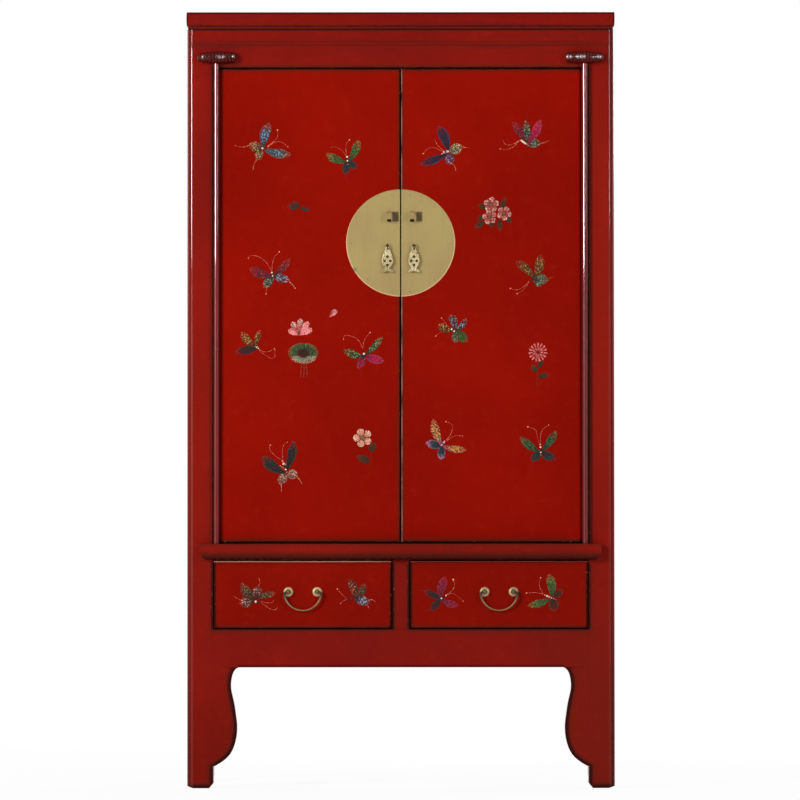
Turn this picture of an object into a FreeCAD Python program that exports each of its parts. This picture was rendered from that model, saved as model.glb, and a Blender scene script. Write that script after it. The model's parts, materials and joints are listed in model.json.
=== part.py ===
import FreeCAD, Part
import math
import os

os.makedirs("parts", exist_ok=True)

Vector = FreeCAD.Vector

# A tall lacquered cabinet: two pole-hung doors over two drawers, on square legs.
# Millimetres. +X is the viewer's right, -Y the front, +Z up. The origin is on the
# floor, below the middle of the outside box.

# Whole cabinet
overall_width = 1050.0
overall_depth = 550.0
overall_height = 1900.0

# Corner posts, which run down into the legs
front_post_width = 64.0
front_post_depth = 60.0
rear_post_width = 50.0
rear_post_depth = 50.0
post_arris_radius = 10.0
foot_inner_run = 10.0
foot_inner_rise = 12.0
foot_outer_run = 9.0
foot_outer_rise = 5.0

# Cap, a mitred frame round a board, on a recessed neck
cap_height = 34.0
cap_overhang = 2.0
cap_rail_width = 70.0
cap_edge_bulge = 3.0
cap_neck_height = 8.0
cap_neck_setback = 2.0

# Rails between the posts
header_height = 94.5
front_rail_depth = 40.0
rear_rail_thickness = 22.0
side_rail_thickness = 30.0
bead_from_top = 29.0
bead_spacing = 9.0
bead_width = 2.0
bead_depth = 1.2
bead_end_margin = 14.0

# Tenons on the rails
tenon_length = 22.0
tenon_shoulder = 8.0
tenon_thickness_share = 1 / 3
mortise_slack = 1.0

# Ledge that the doors stand on
ledge_projection = 32.0
ledge_height = 39.0
ledge_half_length = 490.0
ledge_ovolo_run = 22.0
ledge_ovolo_rise = 16.0
ledge_top_round = 3.0

# Aprons and the brackets that run down the legs
leg_clearance = 295.0
apron_height = 93.0
apron_thickness = 22.0
spandrel_width = 62.6
spandrel_drop = 241.0
side_spandrel_width = 48.0
side_spandrel_drop = 160.0
# Outline of a bracket, from the apron down: width and drop, as shares of its size
spandrel_shares = [
    (1.000, 0.000), (0.839, 0.029), (0.725, 0.102), (0.698, 0.216), (0.800, 0.340), (0.879, 0.465),
    (0.933, 0.600), (0.898, 0.715), (0.800, 0.808), (0.639, 0.886), (0.358, 0.953), (0.061, 1.000),
]

# Drawer storey
drawer_opening_height = 170.0
divider_width = 41.0
drawer_gap = 3.0
drawer_end_gap = 2.0
drawer_inner_gap = 2.5
drawer_front_thickness = 18.0
drawer_front_arris = 2.0
drawer_side_thickness = 12.0
drawer_side_inset = 1.0
drawer_back_clearance = 64.0
drawer_side_drop = 25.0
drawer_back_drop = 10.0
drawer_bottom_thickness = 8.0
drawer_bottom_rise = 8.0
drawer_bottom_tongue = 5.0
runner_thickness = 27.0
runner_bearing = 15.0
guide_height = 20.0
guide_gap = 0.5
sliding_gap = 0.3

# Boards let into grooves
panel_tongue = 8.0
groove_slack = 1.0
side_panel_thickness = 10.0
side_panel_setback = 8.0
back_panel_thickness = 10.0
back_panel_setback = 6.0
floor_thickness = 12.0
floor_below_rail = 10.0
top_panel_thickness = 14.0

# Shelves on cleats
shelf_thickness = 18.0
shelf_end_gap = 0.3
shelf_setback = 2.0
lower_shelf_rise = 390.0
upper_shelf_rise = 780.0
cleat_width = 25.0
cleat_height = 22.0

# Doors
door_thickness = 22.0
door_side_gap = 1.5
door_centre_gap = 3.0
door_top_gap = 3.0
door_bottom_gap = 4.5
hinge_stile_width = 45.0
door_arris = 1.5
quirk_width = 5.0
quirk_depth = 4.0
batten_height = 50.0
batten_thickness = 18.0
batten_end_margin = 18.0
batten_edge_margin = 75.0
middle_batten_drop = 152.75
door_stop_height = 20.0
door_sill_height = 12.0
door_stop_gap = 0.3

# Pole that each door turns on
pole_diameter = 14.0
pole_inset = 8.0
pole_proud = 8.5
pole_neck_width = 8.0
pivot_diameter = 10.0
pivot_clearance = 0.05
pivot_length = 20.0
pivot_end_gap = 0.3

# Ribbed block over the top pivot
pivot_block_length = 91.0
pivot_block_diameter = 31.0
pivot_block_rise = 24.5
pivot_block_ribs = 11
pivot_rib_depth = 2.0
pivot_block_inner_taper = 2.6
pivot_block_outer_taper = 6.6

# Round lock plate in two halves
lock_plate_diameter = 267.0
lock_plate_drop = 425.0
lock_plate_thickness = 1.5
tack_from_rim = 11.5
tack_head_diameter = 4.4
tack_head_height = 1.2
tack_angles = (10.5, 42.0, 90.0, 138.0, 169.5)

# Staples for the lock bar
staple_spacing = 55.8
staple_above_centre = 62.5
staple_width = 10.0
staple_height = 24.0
staple_proud = 20.0
staple_strap = 2.6
staple_corner_radius = 9.0

# Pull loops and the plaques that hang from them
pull_spacing = 64.8
pull_below_centre = 10.5
pull_loop_radius = 5.5
pull_wire_diameter = 2.6
pull_stand_off = 0.5
pin_diameter = 3.4
pin_hole_clearance = 0.1
clinch_length = 22.0
clinch_thickness = 1.5
pendant_width = 27.0
pendant_height = 63.0
pendant_thickness = 2.0
pendant_neck_hole = 6.4
pendant_hole = 4.6
pendant_hole_spread = 14.0
pendant_hole_reach = 21.0
pendant_holes_drop = 35.5
pendant_foot_notch = 3.0
pendant_hang_gap = 0.3
# Outline of half a plaque, from its top: half width and drop, as shares of its size
pendant_shares = [
    (0.00, 0.000), (0.24, 0.012), (0.36, 0.070), (0.34, 0.130), (0.52, 0.175), (0.60, 0.250),
    (0.80, 0.300), (0.86, 0.390), (0.98, 0.470), (0.98, 0.600), (0.84, 0.690), (0.62, 0.770),
    (0.50, 0.830), (0.66, 0.890), (0.96, 0.930), (1.00, 0.975), (0.86, 1.000),
]

# Drawer bails and the posts that hold them
bail_post_spacing = 70.5
bail_axis_drop = 75.5
rosette_diameter = 24.0
rosette_height = 3.5
rosette_dome = 1.5
bail_post_diameter = 9.0
bail_post_length = 15.0
bail_axis_proud = 10.0
bail_half_width = 45.5
bail_wire_diameter = 4.4
bail_pin_diameter = 3.8
bail_pin_clearance = 0.05
bail_pin_inset = 4.0
bail_elbow_angle = 5.0

# One overrun for every through cut
cut_overrun = 10.0

# Planes that the pieces share, worked out from the sizes above
ledge_front = -overall_depth / 2
frame_front = ledge_front + ledge_projection
frame_back = overall_depth / 2
front_post_back = frame_front + front_post_depth
rear_post_front = frame_back - rear_post_depth
frame_side = overall_width / 2 - cap_overhang
front_post_inner = frame_side - front_post_width
rear_post_inner = frame_side - rear_post_width

cap_bottom = overall_height - cap_height
frame_top = cap_bottom - cap_neck_height
header_bottom = frame_top - header_height
apron_top = leg_clearance + apron_height
drawer_opening_top = apron_top + drawer_opening_height
ledge_top = drawer_opening_top + ledge_height

apron_back = frame_front + apron_thickness
front_rail_back = frame_front + front_rail_depth
rear_rail_front = frame_back - rear_rail_thickness
side_rail_inner = frame_side - side_rail_thickness
side_apron_inner = frame_side - apron_thickness
side_panel_outer = frame_side - side_panel_setback
side_panel_inner = side_panel_outer - side_panel_thickness
back_panel_back = frame_back - back_panel_setback
back_panel_front = back_panel_back - back_panel_thickness

door_outer = front_post_inner - door_side_gap
door_inner = door_centre_gap / 2
door_bottom = ledge_top + door_bottom_gap
door_top = header_bottom - door_top_gap
door_back = frame_front + door_thickness
stile_inner = door_outer - hinge_stile_width
pole_x = front_post_inner - pole_inset
pole_y = frame_front - pole_proud
pole_radius = pole_diameter / 2
pivot_block_z = header_bottom + pivot_block_rise
pole_top = pivot_block_z - pivot_block_diameter / 2 - pivot_end_gap
pole_bottom = ledge_top + pivot_end_gap

drawer_bottom = apron_top + drawer_gap
drawer_top = drawer_opening_top - drawer_gap
drawer_inner = divider_width / 2 + drawer_inner_gap
drawer_outer = front_post_inner - drawer_end_gap
drawer_box_front = frame_front + drawer_front_thickness
drawer_box_back = back_panel_front - drawer_back_clearance
drawer_side_inner = drawer_inner + drawer_side_inset
drawer_side_outer = drawer_outer - drawer_side_inset
runner_top = drawer_bottom - sliding_gap
runner_bottom = runner_top - runner_thickness

plate_front = frame_front - lock_plate_thickness
plate_radius = lock_plate_diameter / 2
lock_plate_z = door_top - lock_plate_drop


def block(x_range, y_range, z_range):
    """A square-edged board between three pairs of planes."""
    lengths = [high - low for low, high in (x_range, y_range, z_range)]
    return Part.makeBox(*lengths, Vector(x_range[0], y_range[0], z_range[0]))


def mirrored(shape):
    """The same piece on the other side of the cabinet."""
    return shape.mirror(Vector(0, 0, 0), Vector(1, 0, 0))


def both_sides(shapes):
    return shapes + [mirrored(shape) for shape in shapes]


def joined(shapes):
    return shapes[0].fuse(shapes[1:]).removeSplitter()


def rod(diameter, start, direction, length):
    return Part.makeCylinder(diameter / 2, length, start, direction)


def prism(points, direction):
    """A solid pushed out from a closed outline of straight edges."""
    outline = Part.makePolygon(points + points[:1])
    return Part.Face(outline).extrude(direction)


def save(node, shapes):
    """Write one node, a single solid or a group of separate ones."""
    solids = shapes if isinstance(shapes, list) else [shapes]
    whole = solids[0] if len(solids) == 1 else Part.makeCompound(solids)
    whole.exportStep("parts/" + node + ".step")


def save_pair(node, shapes):
    """Write a right-hand node and its left-hand twin."""
    solids = shapes if isinstance(shapes, list) else [shapes]
    save("right_" + node, solids)
    save("left_" + node, [mirrored(solid) for solid in solids])


def tenoned(ranges, along):
    """A rail with a tenon at each end, and the mortises that take them."""
    wide = 2 if along != 2 else 0
    thin = 3 - along - wide
    tenon = list(ranges)
    low, high = ranges[thin]
    half = (high - low) * tenon_thickness_share / 2
    tenon[thin] = ((low + high) / 2 - half, (low + high) / 2 + half)
    tenon[wide] = (ranges[wide][0] + tenon_shoulder, ranges[wide][1] - tenon_shoulder)
    low, high = ranges[along]
    tenon[along] = (low - tenon_length, high + tenon_length)
    mortise = list(tenon)
    mortise[along] = (low - tenon_length - mortise_slack, high + tenon_length + mortise_slack)
    rail = joined([block(*ranges), block(*tenon)])
    return rail, block(*mortise)


def grooved_board(ranges, thin, tongue=panel_tongue):
    """A board whose edges run into grooves, and the grooves."""
    board = list(ranges)
    groove = list(ranges)
    for axis in range(3):
        if axis == thin:
            continue
        low, high = ranges[axis]
        board[axis] = (low - tongue, high + tongue)
        groove[axis] = (low - tongue - groove_slack, high + tongue + groove_slack)
    return block(*board), block(*groove)


def cut_all(shape, tools):
    for tool in tools:
        if shape.BoundBox.intersect(tool.BoundBox):
            shape = shape.cut(tool)
    return shape


def foot_wedges(inner, outer, y_range):
    """The bevels at the bottom of a leg, on its inner and outer sides."""
    y_low, y_high = y_range[0] - cut_overrun, y_range[1] + cut_overrun
    sweep = Vector(0, y_high - y_low, 0)
    inner_wedge = prism([
        Vector(inner, y_low, 0),
        Vector(inner + foot_inner_run, y_low, 0),
        Vector(inner, y_low, foot_inner_rise),
    ], sweep)
    outer_wedge = prism([
        Vector(outer, y_low, 0),
        Vector(outer - foot_outer_run, y_low, 0),
        Vector(outer, y_low, foot_outer_rise),
    ], sweep)
    return [inner_wedge, outer_wedge]


def post(inner, y_range, round_front):
    """A right-hand corner post from the floor to the cap's neck."""
    solid = block((inner, frame_side), y_range, (0, frame_top))
    round_y = y_range[0] if round_front else y_range[1]
    arris = [
        edge for edge in solid.Edges
        if edge.BoundBox.ZLength > frame_top / 2
        and abs(edge.BoundBox.Center.x - frame_side) < post_arris_radius / 2
        and abs(edge.BoundBox.Center.y - round_y) < post_arris_radius / 2
    ]
    solid = solid.makeFillet(post_arris_radius, arris)
    return cut_all(solid, foot_wedges(inner, frame_side, y_range))


def spandrel(width, drop, thickness):
    """A bracket in the XZ plane: its corner at the origin, running to -X and -Z."""
    curve_points = [Vector(-width * across, 0, -drop * down) for across, down in spandrel_shares]
    curve = Part.BSplineCurve()
    curve.interpolate(curve_points)
    toe = Vector(0, 0, -drop)
    edges = [
        Part.makeLine(Vector(0, 0, 0), curve_points[0]),
        curve.toShape(),
        Part.makeLine(curve_points[-1], toe),
        Part.makeLine(toe, Vector(0, 0, 0)),
    ]
    return Part.Face(Part.Wire(edges)).extrude(Vector(0, thickness, 0))


def placed(shape, x, y, z):
    copy = shape.copy()
    copy.translate(Vector(x, y, z))
    return copy


def cap_slab():
    """The whole cap with its rounded edge and the neck under it, before mitring."""
    edge = cap_edge_bulge
    neck = cap_overhang + cap_neck_setback

    def outline(low, high, round_low, round_high, point):
        """A section across the cap; its rounded sides bulge between top and bottom."""
        def side(outer, sign, rounded):
            inset = outer - sign * (edge if rounded else 0)
            neck_at = outer - sign * (neck if rounded else 0)
            middle = point(outer, (cap_bottom + overall_height) / 2)
            lower, upper = point(inset, cap_bottom), point(inset, overall_height)
            wall = Part.Arc(lower, middle, upper).toShape() if rounded else Part.makeLine(lower, upper)
            return wall, lower, upper, point(neck_at, cap_bottom), point(neck_at, frame_top)

        left_wall, left_low, left_top, left_step, left_foot = side(low, -1, round_low)
        right_wall, right_low, right_top, right_step, right_foot = side(high, 1, round_high)
        pairs = [
            (left_top, right_top), (right_low, right_step), (right_step, right_foot),
            (right_foot, left_foot), (left_foot, left_step), (left_step, left_low),
        ]
        lines = [Part.makeLine(a, b) for a, b in pairs if a.distanceToPoint(b) > 0]
        return Part.Face(Part.Wire(Part.__sortEdges__([left_wall, right_wall] + lines)))

    half = overall_width / 2
    front = frame_front - cap_overhang
    across = outline(-half, half, True, True, lambda u, z: Vector(u, front, z))
    along = outline(front, frame_back, True, False, lambda u, z: Vector(-half, u, z))
    long_bar = along.extrude(Vector(overall_width, 0, 0))
    deep_bar = across.extrude(Vector(0, frame_back - front, 0))
    return long_bar.common(deep_bar)


def cap_pieces():
    """The cap's mitred rails and the board that they hold."""
    slab = cap_slab()
    half = overall_width / 2
    front = frame_front - cap_overhang
    inner_x = half - cap_rail_width
    inner_front = front + cap_rail_width
    inner_back = frame_back - cap_rail_width
    low, height = frame_top, Vector(0, 0, overall_height - frame_top)
    board, groove = grooved_board(
        [(-inner_x, inner_x), (inner_front, inner_back), (overall_height - top_panel_thickness, overall_height)],
        thin=2,
    )
    front_piece = prism([
        Vector(-half, front, low), Vector(half, front, low),
        Vector(inner_x, inner_front, low), Vector(-inner_x, inner_front, low),
    ], height)
    rear_piece = prism([
        Vector(-half, frame_back, low), Vector(half, frame_back, low),
        Vector(inner_x, inner_back, low), Vector(-inner_x, inner_back, low),
    ], height)
    side_piece = prism([
        Vector(half, front, low), Vector(half, frame_back, low),
        Vector(inner_x, inner_back, low), Vector(inner_x, inner_front, low),
    ], height)
    front_rail = slab.common(front_piece).cut(groove)
    rear_rail = slab.common(rear_piece).cut(groove)
    side_rail = slab.common(side_piece).cut(groove)
    return front_rail, rear_rail, both_sides([side_rail]), board


def ledge():
    """The moulded ledge; the moulding returns at both ends."""
    def section(point, far):
        """Half outline: a rounded top edge, an upright face and an ovolo under it."""
        top_inset = ledge_top_round * (1 - math.sqrt(1 / 2))
        ovolo_top = drawer_opening_top + ledge_ovolo_rise
        ovolo_out = ledge_ovolo_run * math.sqrt(1 / 2)
        ovolo_up = ledge_ovolo_rise * (1 - math.sqrt(1 / 2))
        top = Part.Arc(
            point(ledge_top_round, ledge_top),
            point(top_inset, ledge_top - top_inset),
            point(0, ledge_top - ledge_top_round),
        )
        ovolo = Part.Arc(
            point(0, ovolo_top),
            point(ledge_ovolo_run - ovolo_out, drawer_opening_top + ovolo_up),
            point(ledge_ovolo_run, drawer_opening_top),
        )
        face = Part.makeLine(point(0, ledge_top - ledge_top_round), point(0, ovolo_top))
        top_line = Part.makeLine(point(ledge_top_round, ledge_top), point(far, ledge_top))
        back_line = Part.makeLine(point(far, ledge_top), point(far, drawer_opening_top))
        under_line = Part.makeLine(point(far, drawer_opening_top), point(ledge_ovolo_run, drawer_opening_top))
        edges = [top.toShape(), face, ovolo.toShape(), under_line, back_line, top_line]
        return Part.Face(Part.Wire(Part.__sortEdges__(edges)))

    front_section = section(
        lambda inward, z: Vector(-ledge_half_length, ledge_front + inward, z), ledge_projection)
    long_bar = front_section.extrude(Vector(2 * ledge_half_length, 0, 0))
    end_section = section(
        lambda inward, z: Vector(ledge_half_length - inward, ledge_front, z), ledge_half_length)
    end_bar = end_section.extrude(Vector(0, ledge_projection, 0))
    whole = long_bar.common(joined(both_sides([end_bar])))
    socket = rod(
        pivot_diameter + 2 * pivot_clearance,
        Vector(pole_x, pole_y, ledge_top - pivot_length),
        Vector(0, 0, 1),
        pivot_length + cut_overrun,
    )
    return cut_all(whole, both_sides([socket]))


def pivot_block():
    """A right-hand ribbed spindle, cut flat where it lies on the header and post."""
    pitch = pivot_block_length / pivot_block_ribs
    start = pole_x - pivot_block_length / 2
    core = pivot_block_diameter / 2 - pivot_rib_depth

    def valley(index):
        from_centre = 2 * index / pivot_block_ribs - 1
        taper = pivot_block_outer_taper if from_centre > 0 else pivot_block_inner_taper
        return core - taper * from_centre ** 2

    def point(index, radius):
        return Vector(start + index * pitch, pole_y, pivot_block_z + radius)

    edges = []
    for rib in range(pivot_block_ribs):
        crest = (valley(rib) + valley(rib + 1)) / 2 + pivot_rib_depth
        edges.append(Part.Arc(
            point(rib, valley(rib)), point(rib + 1 / 2, crest), point(rib + 1, valley(rib + 1))).toShape())
    first, last = point(0, 0), point(pivot_block_ribs, 0)
    edges.append(Part.makeLine(point(pivot_block_ribs, valley(pivot_block_ribs)), last))
    edges.append(Part.makeLine(last, first))
    edges.append(Part.makeLine(first, point(0, valley(0))))
    turned = Part.Face(Part.Wire(edges)).revolve(first, Vector(1, 0, 0), 360)
    behind = block(
        (start - cut_overrun, start + pivot_block_length + cut_overrun),
        (frame_front, frame_front + pivot_block_diameter),
        (pivot_block_z - pivot_block_diameter, pivot_block_z + pivot_block_diameter),
    )
    socket = rod(
        pivot_diameter + 2 * pivot_clearance,
        Vector(pole_x, pole_y, pole_top - cut_overrun),
        Vector(0, 0, 1),
        pivot_length + pivot_end_gap + cut_overrun,
    )
    return turned.cut(behind).cut(socket)


def carcass():
    """Posts, rails, aprons, boards and everything else that stands still."""
    posts = {
        "front": post(front_post_inner, (frame_front, front_post_back), True),
        "rear": post(rear_post_inner, (rear_post_front, frame_back), False),
    }
    front_span = (-front_post_inner, front_post_inner)
    rear_span = (-rear_post_inner, rear_post_inner)
    side_span = (front_post_back, rear_post_front)
    header_z = (header_bottom, frame_top)
    middle_z = (drawer_opening_top, ledge_top)
    apron_z = (leg_clearance, apron_top)
    front_y = (frame_front, front_rail_back)
    front_apron_y = (frame_front, apron_back)
    rear_y = (rear_rail_front, frame_back)
    side_rail_x = (side_rail_inner, frame_side)
    side_apron_x = (side_apron_inner, frame_side)

    header, header_mortise = tenoned([front_span, front_y, header_z], along=0)
    front_middle, front_middle_mortise = tenoned([front_span, front_y, middle_z], along=0)
    front_apron, front_apron_mortise = tenoned([front_span, front_apron_y, apron_z], along=0)
    rear_top, rear_top_mortise = tenoned([rear_span, rear_y, header_z], along=0)
    rear_middle, rear_middle_mortise = tenoned([rear_span, rear_y, middle_z], along=0)
    rear_apron, rear_apron_mortise = tenoned([rear_span, rear_y, apron_z], along=0)
    side_top, side_top_mortise = tenoned([side_rail_x, side_span, header_z], along=1)
    side_middle, side_middle_mortise = tenoned([side_rail_x, side_span, middle_z], along=1)
    side_apron, side_apron_mortise = tenoned([side_apron_x, side_span, apron_z], along=1)
    divider_x = (-divider_width / 2, divider_width / 2)
    divider, divider_mortise = tenoned([divider_x, front_apron_y, (apron_top, drawer_opening_top)], along=2)

    side_x = (side_panel_inner, side_panel_outer)
    back_y = (back_panel_front, back_panel_back)
    lower_z = (apron_top, drawer_opening_top)
    upper_z = (ledge_top, header_bottom)
    side_lower, side_lower_groove = grooved_board([side_x, side_span, lower_z], thin=0)
    side_upper, side_upper_groove = grooved_board([side_x, side_span, upper_z], thin=0)
    back_lower, back_lower_groove = grooved_board([rear_span, back_y, lower_z], thin=1)
    back_upper, back_upper_groove = grooved_board([rear_span, back_y, upper_z], thin=1)

    floor_top = ledge_top - floor_below_rail
    floor_z = (floor_top - floor_thickness, floor_top)
    floor, floor_groove = grooved_board(
        [(-side_rail_inner, side_rail_inner), (front_rail_back, rear_rail_front), floor_z], thin=2)
    base_z = (runner_bottom - floor_thickness, runner_bottom)
    base, base_groove = grooved_board(
        [(-side_apron_inner, side_apron_inner), (apron_back, rear_rail_front), base_z], thin=2)
    all_posts = both_sides(list(posts.values()))
    floor = cut_all(floor, all_posts)
    base = cut_all(base, all_posts)

    mortises = [
        header_mortise, front_middle_mortise, front_apron_mortise, rear_top_mortise, rear_middle_mortise,
        rear_apron_mortise, side_top_mortise, side_middle_mortise, side_apron_mortise,
    ]
    panel_grooves = [side_lower_groove, side_upper_groove, back_lower_groove, back_upper_groove]
    for name, solid in posts.items():
        save_pair(name + "_post", cut_all(solid, mortises + panel_grooves))

    bead_x = (-front_post_inner + bead_end_margin, front_post_inner - bead_end_margin)
    for line in range(2):
        bead_top = frame_top - bead_from_top - line * bead_spacing
        bead = block(bead_x, (frame_front, frame_front + bead_depth), (bead_top - bead_width, bead_top))
        header = header.cut(bead)
    save("header_rail", header)
    save("front_middle_rail", cut_all(front_middle, [divider_mortise, floor_groove]))
    save("front_apron", cut_all(front_apron, [divider_mortise, base_groove]))
    save("drawer_divider", divider)
    rear_grooves = [back_lower_groove, back_upper_groove, floor_groove, base_groove]
    save("rear_rails", [cut_all(rail, rear_grooves) for rail in (rear_top, rear_middle)])
    save("rear_apron", cut_all(rear_apron, rear_grooves))
    side_grooves = [side_lower_groove, side_upper_groove, floor_groove, base_groove]
    save("side_rails", both_sides([cut_all(rail, side_grooves) for rail in (side_top, side_middle)]))
    save("side_aprons", both_sides([cut_all(side_apron, side_grooves)]))
    save_pair("side_panels", [side_lower, side_upper])
    save("back_panels", [back_lower, back_upper])
    save("wardrobe_floor", floor)
    save("bottom_board", base)

    front_bracket = spandrel(spandrel_width, spandrel_drop, apron_thickness)
    save_pair("spandrel", placed(front_bracket, front_post_inner, frame_front, leg_clearance))
    side_bracket = spandrel(side_spandrel_width, side_spandrel_drop, apron_thickness)
    side_bracket.rotate(Vector(0, 0, 0), Vector(0, 0, 1), 90)
    rear_side = placed(side_bracket, frame_side, rear_post_front, leg_clearance)
    front_side = side_bracket.mirror(Vector(0, 0, 0), Vector(0, 1, 0))
    front_side = placed(front_side, frame_side, front_post_back, leg_clearance)
    save("side_spandrels", both_sides([front_side, rear_side]))

    front_rail, rear_rail, side_rails, top_board = cap_pieces()
    save("cap_front_rail", front_rail)
    save("cap_rear_rail", rear_rail)
    save("cap_side_rails", side_rails)
    save("top_panel", top_board)
    save("ledge", ledge())
    save_pair("pivot_block", pivot_block())


def shelves():
    """Two shelves, each on a pair of cleats along the side panels."""
    side_span = (front_post_back, rear_post_front)
    cleats = []
    rises = {"lower_shelf": lower_shelf_rise, "upper_shelf": upper_shelf_rise}
    for name, rise in rises.items():
        bottom = ledge_top + rise
        half = side_panel_inner - shelf_end_gap
        save(name, block(
            (-half, half), (front_post_back + shelf_setback, rear_post_front), (bottom, bottom + shelf_thickness)))
        cleats.append(block(
            (side_panel_inner - cleat_width, side_panel_inner), side_span, (bottom - cleat_height, bottom)))
    save("shelf_cleats", both_sides(cleats))


def drawer_supports():
    """Runners under the drawer sides, with guides beside them, and the door stops."""
    outer_bed = block(
        (drawer_side_outer - drawer_side_thickness - runner_bearing, side_apron_inner),
        (front_post_back, rear_post_front),
        (runner_bottom, runner_top),
    )
    outer_guide = block(
        (drawer_side_outer + guide_gap, side_apron_inner),
        (front_post_back, rear_post_front),
        (runner_top, runner_top + guide_height),
    )
    centre_half = drawer_side_inner + drawer_side_thickness + runner_bearing
    guide_half = drawer_side_inner - guide_gap
    centre_bed = block((-centre_half, centre_half), (apron_back, rear_rail_front), (runner_bottom, runner_top))
    centre_guide = block(
        (-guide_half, guide_half), (apron_back, rear_rail_front), (runner_top, runner_top + guide_height))
    outer = joined([outer_bed, outer_guide])
    save("drawer_runners", both_sides([outer]) + [joined([centre_bed, centre_guide])])

    stop_x = (-pole_x + pole_diameter, pole_x - pole_diameter)
    stop_y = (door_back + door_stop_gap, front_rail_back)
    top_stop = block(stop_x, stop_y, (header_bottom - door_stop_height, header_bottom))
    sill = block(stop_x, stop_y, (ledge_top, ledge_top + door_sill_height))
    save("door_stops", [top_stop, sill])


def hinge_stile():
    """The right door's outer stile with the pole and its pivots worked on it."""
    body = block((stile_inner, door_outer), (frame_front, door_back), (door_bottom, door_top))
    quirk_outer = pole_x - pole_radius
    quirk = block(
        (quirk_outer - quirk_width, quirk_outer),
        (frame_front - cut_overrun, frame_front + quirk_depth),
        (door_bottom - cut_overrun, door_top + cut_overrun),
    )
    neck = block(
        (pole_x - pole_neck_width / 2, pole_x + pole_neck_width / 2), (pole_y, frame_front), (door_bottom, door_top))
    up = Vector(0, 0, 1)
    pole = rod(pole_diameter, Vector(pole_x, pole_y, pole_bottom), up, pole_top - pole_bottom)
    foot_pin_bottom = ledge_top - pivot_length + pivot_end_gap
    pivots = rod(
        pivot_diameter,
        Vector(pole_x, pole_y, foot_pin_bottom),
        up,
        pole_top + pivot_length - foot_pin_bottom,
    )
    return joined([body.cut(quirk), neck, pole, pivots])


def lock_plate():
    """The right half of the round plate, ending at the door's edge."""
    disc = rod(
        lock_plate_diameter, Vector(0, frame_front, lock_plate_z), Vector(0, -1, 0), lock_plate_thickness)
    keep = block(
        (door_inner, plate_radius + cut_overrun),
        (plate_front - cut_overrun, frame_front + cut_overrun),
        (lock_plate_z - plate_radius - cut_overrun, lock_plate_z + plate_radius + cut_overrun),
    )
    return disc.common(keep)


def plate_tacks():
    """Small domed nail heads inside the plate's rim."""
    ring = plate_radius - tack_from_rim
    radius = tack_head_diameter / 2
    sphere_radius = (radius ** 2 + tack_head_height ** 2) / (2 * tack_head_height)
    tacks = []
    for angle in tack_angles:
        turn = math.radians(angle)
        centre = Vector(
            ring * math.sin(turn),
            plate_front - tack_head_height + sphere_radius,
            lock_plate_z + ring * math.cos(turn),
        )
        ball = Part.makeSphere(sphere_radius, centre)
        front = block(
            (centre.x - radius, centre.x + radius),
            (plate_front - 2 * tack_head_height, plate_front),
            (centre.z - radius, centre.z + radius),
        )
        tacks.append(ball.common(front))
    return tacks


def pin_with_clinch(x, z, start, clinch_at):
    """A shank through the wood from its start, bent over behind as a flat bar."""
    shank = rod(pin_diameter, Vector(x, start, z), Vector(0, 1, 0), clinch_at - start)
    bar = block(
        (x - clinch_length / 2, x + clinch_length / 2),
        (clinch_at, clinch_at + clinch_thickness),
        (z - pin_diameter / 2, z + pin_diameter / 2),
    )
    hole = rod(
        pin_diameter + 2 * pin_hole_clearance,
        Vector(x, plate_front - cut_overrun, z),
        Vector(0, 1, 0),
        clinch_at - plate_front + cut_overrun,
    )
    return [shank, bar], hole


def staple():
    """The right staple: a strap bent out from the plate, held by two pins."""
    x = staple_spacing / 2
    z = lock_plate_z + staple_above_centre

    def hoop(inset, reach, width):
        low, high = z - staple_height / 2 + inset, z + staple_height / 2 - inset
        tip = plate_front - staple_proud + inset
        solid = block((x - width / 2, x + width / 2), (tip, plate_front + reach), (low, high))
        corners = [
            edge for edge in solid.Edges
            if edge.BoundBox.XLength > width / 2 and abs(edge.BoundBox.Center.y - tip) < staple_strap / 2
        ]
        return solid.makeFillet(staple_corner_radius - inset, corners)

    strap = hoop(0, 0, staple_width).cut(hoop(staple_strap, cut_overrun, staple_width + cut_overrun))
    pieces, holes = [strap], []
    for side in (-1, 1):
        pin_z = z + side * (staple_height / 2 - staple_strap / 2)
        pin, hole = pin_with_clinch(x, pin_z, plate_front, door_back)
        pieces += pin
        holes.append(hole)
    return joined(pieces), holes


pull_x = pull_spacing / 2
pull_y = plate_front - pull_stand_off - pull_loop_radius - pull_wire_diameter / 2
pull_z = lock_plate_z - pull_below_centre


def pull_loop():
    """The right pull's eye, upright across the door, with its pin."""
    eye = Part.makeTorus(
        pull_loop_radius, pull_wire_diameter / 2, Vector(pull_x, pull_y, pull_z), Vector(1, 0, 0))
    pin, hole = pin_with_clinch(pull_x, pull_z, pull_y + pull_loop_radius, door_back)
    return joined([eye] + pin), hole


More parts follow.
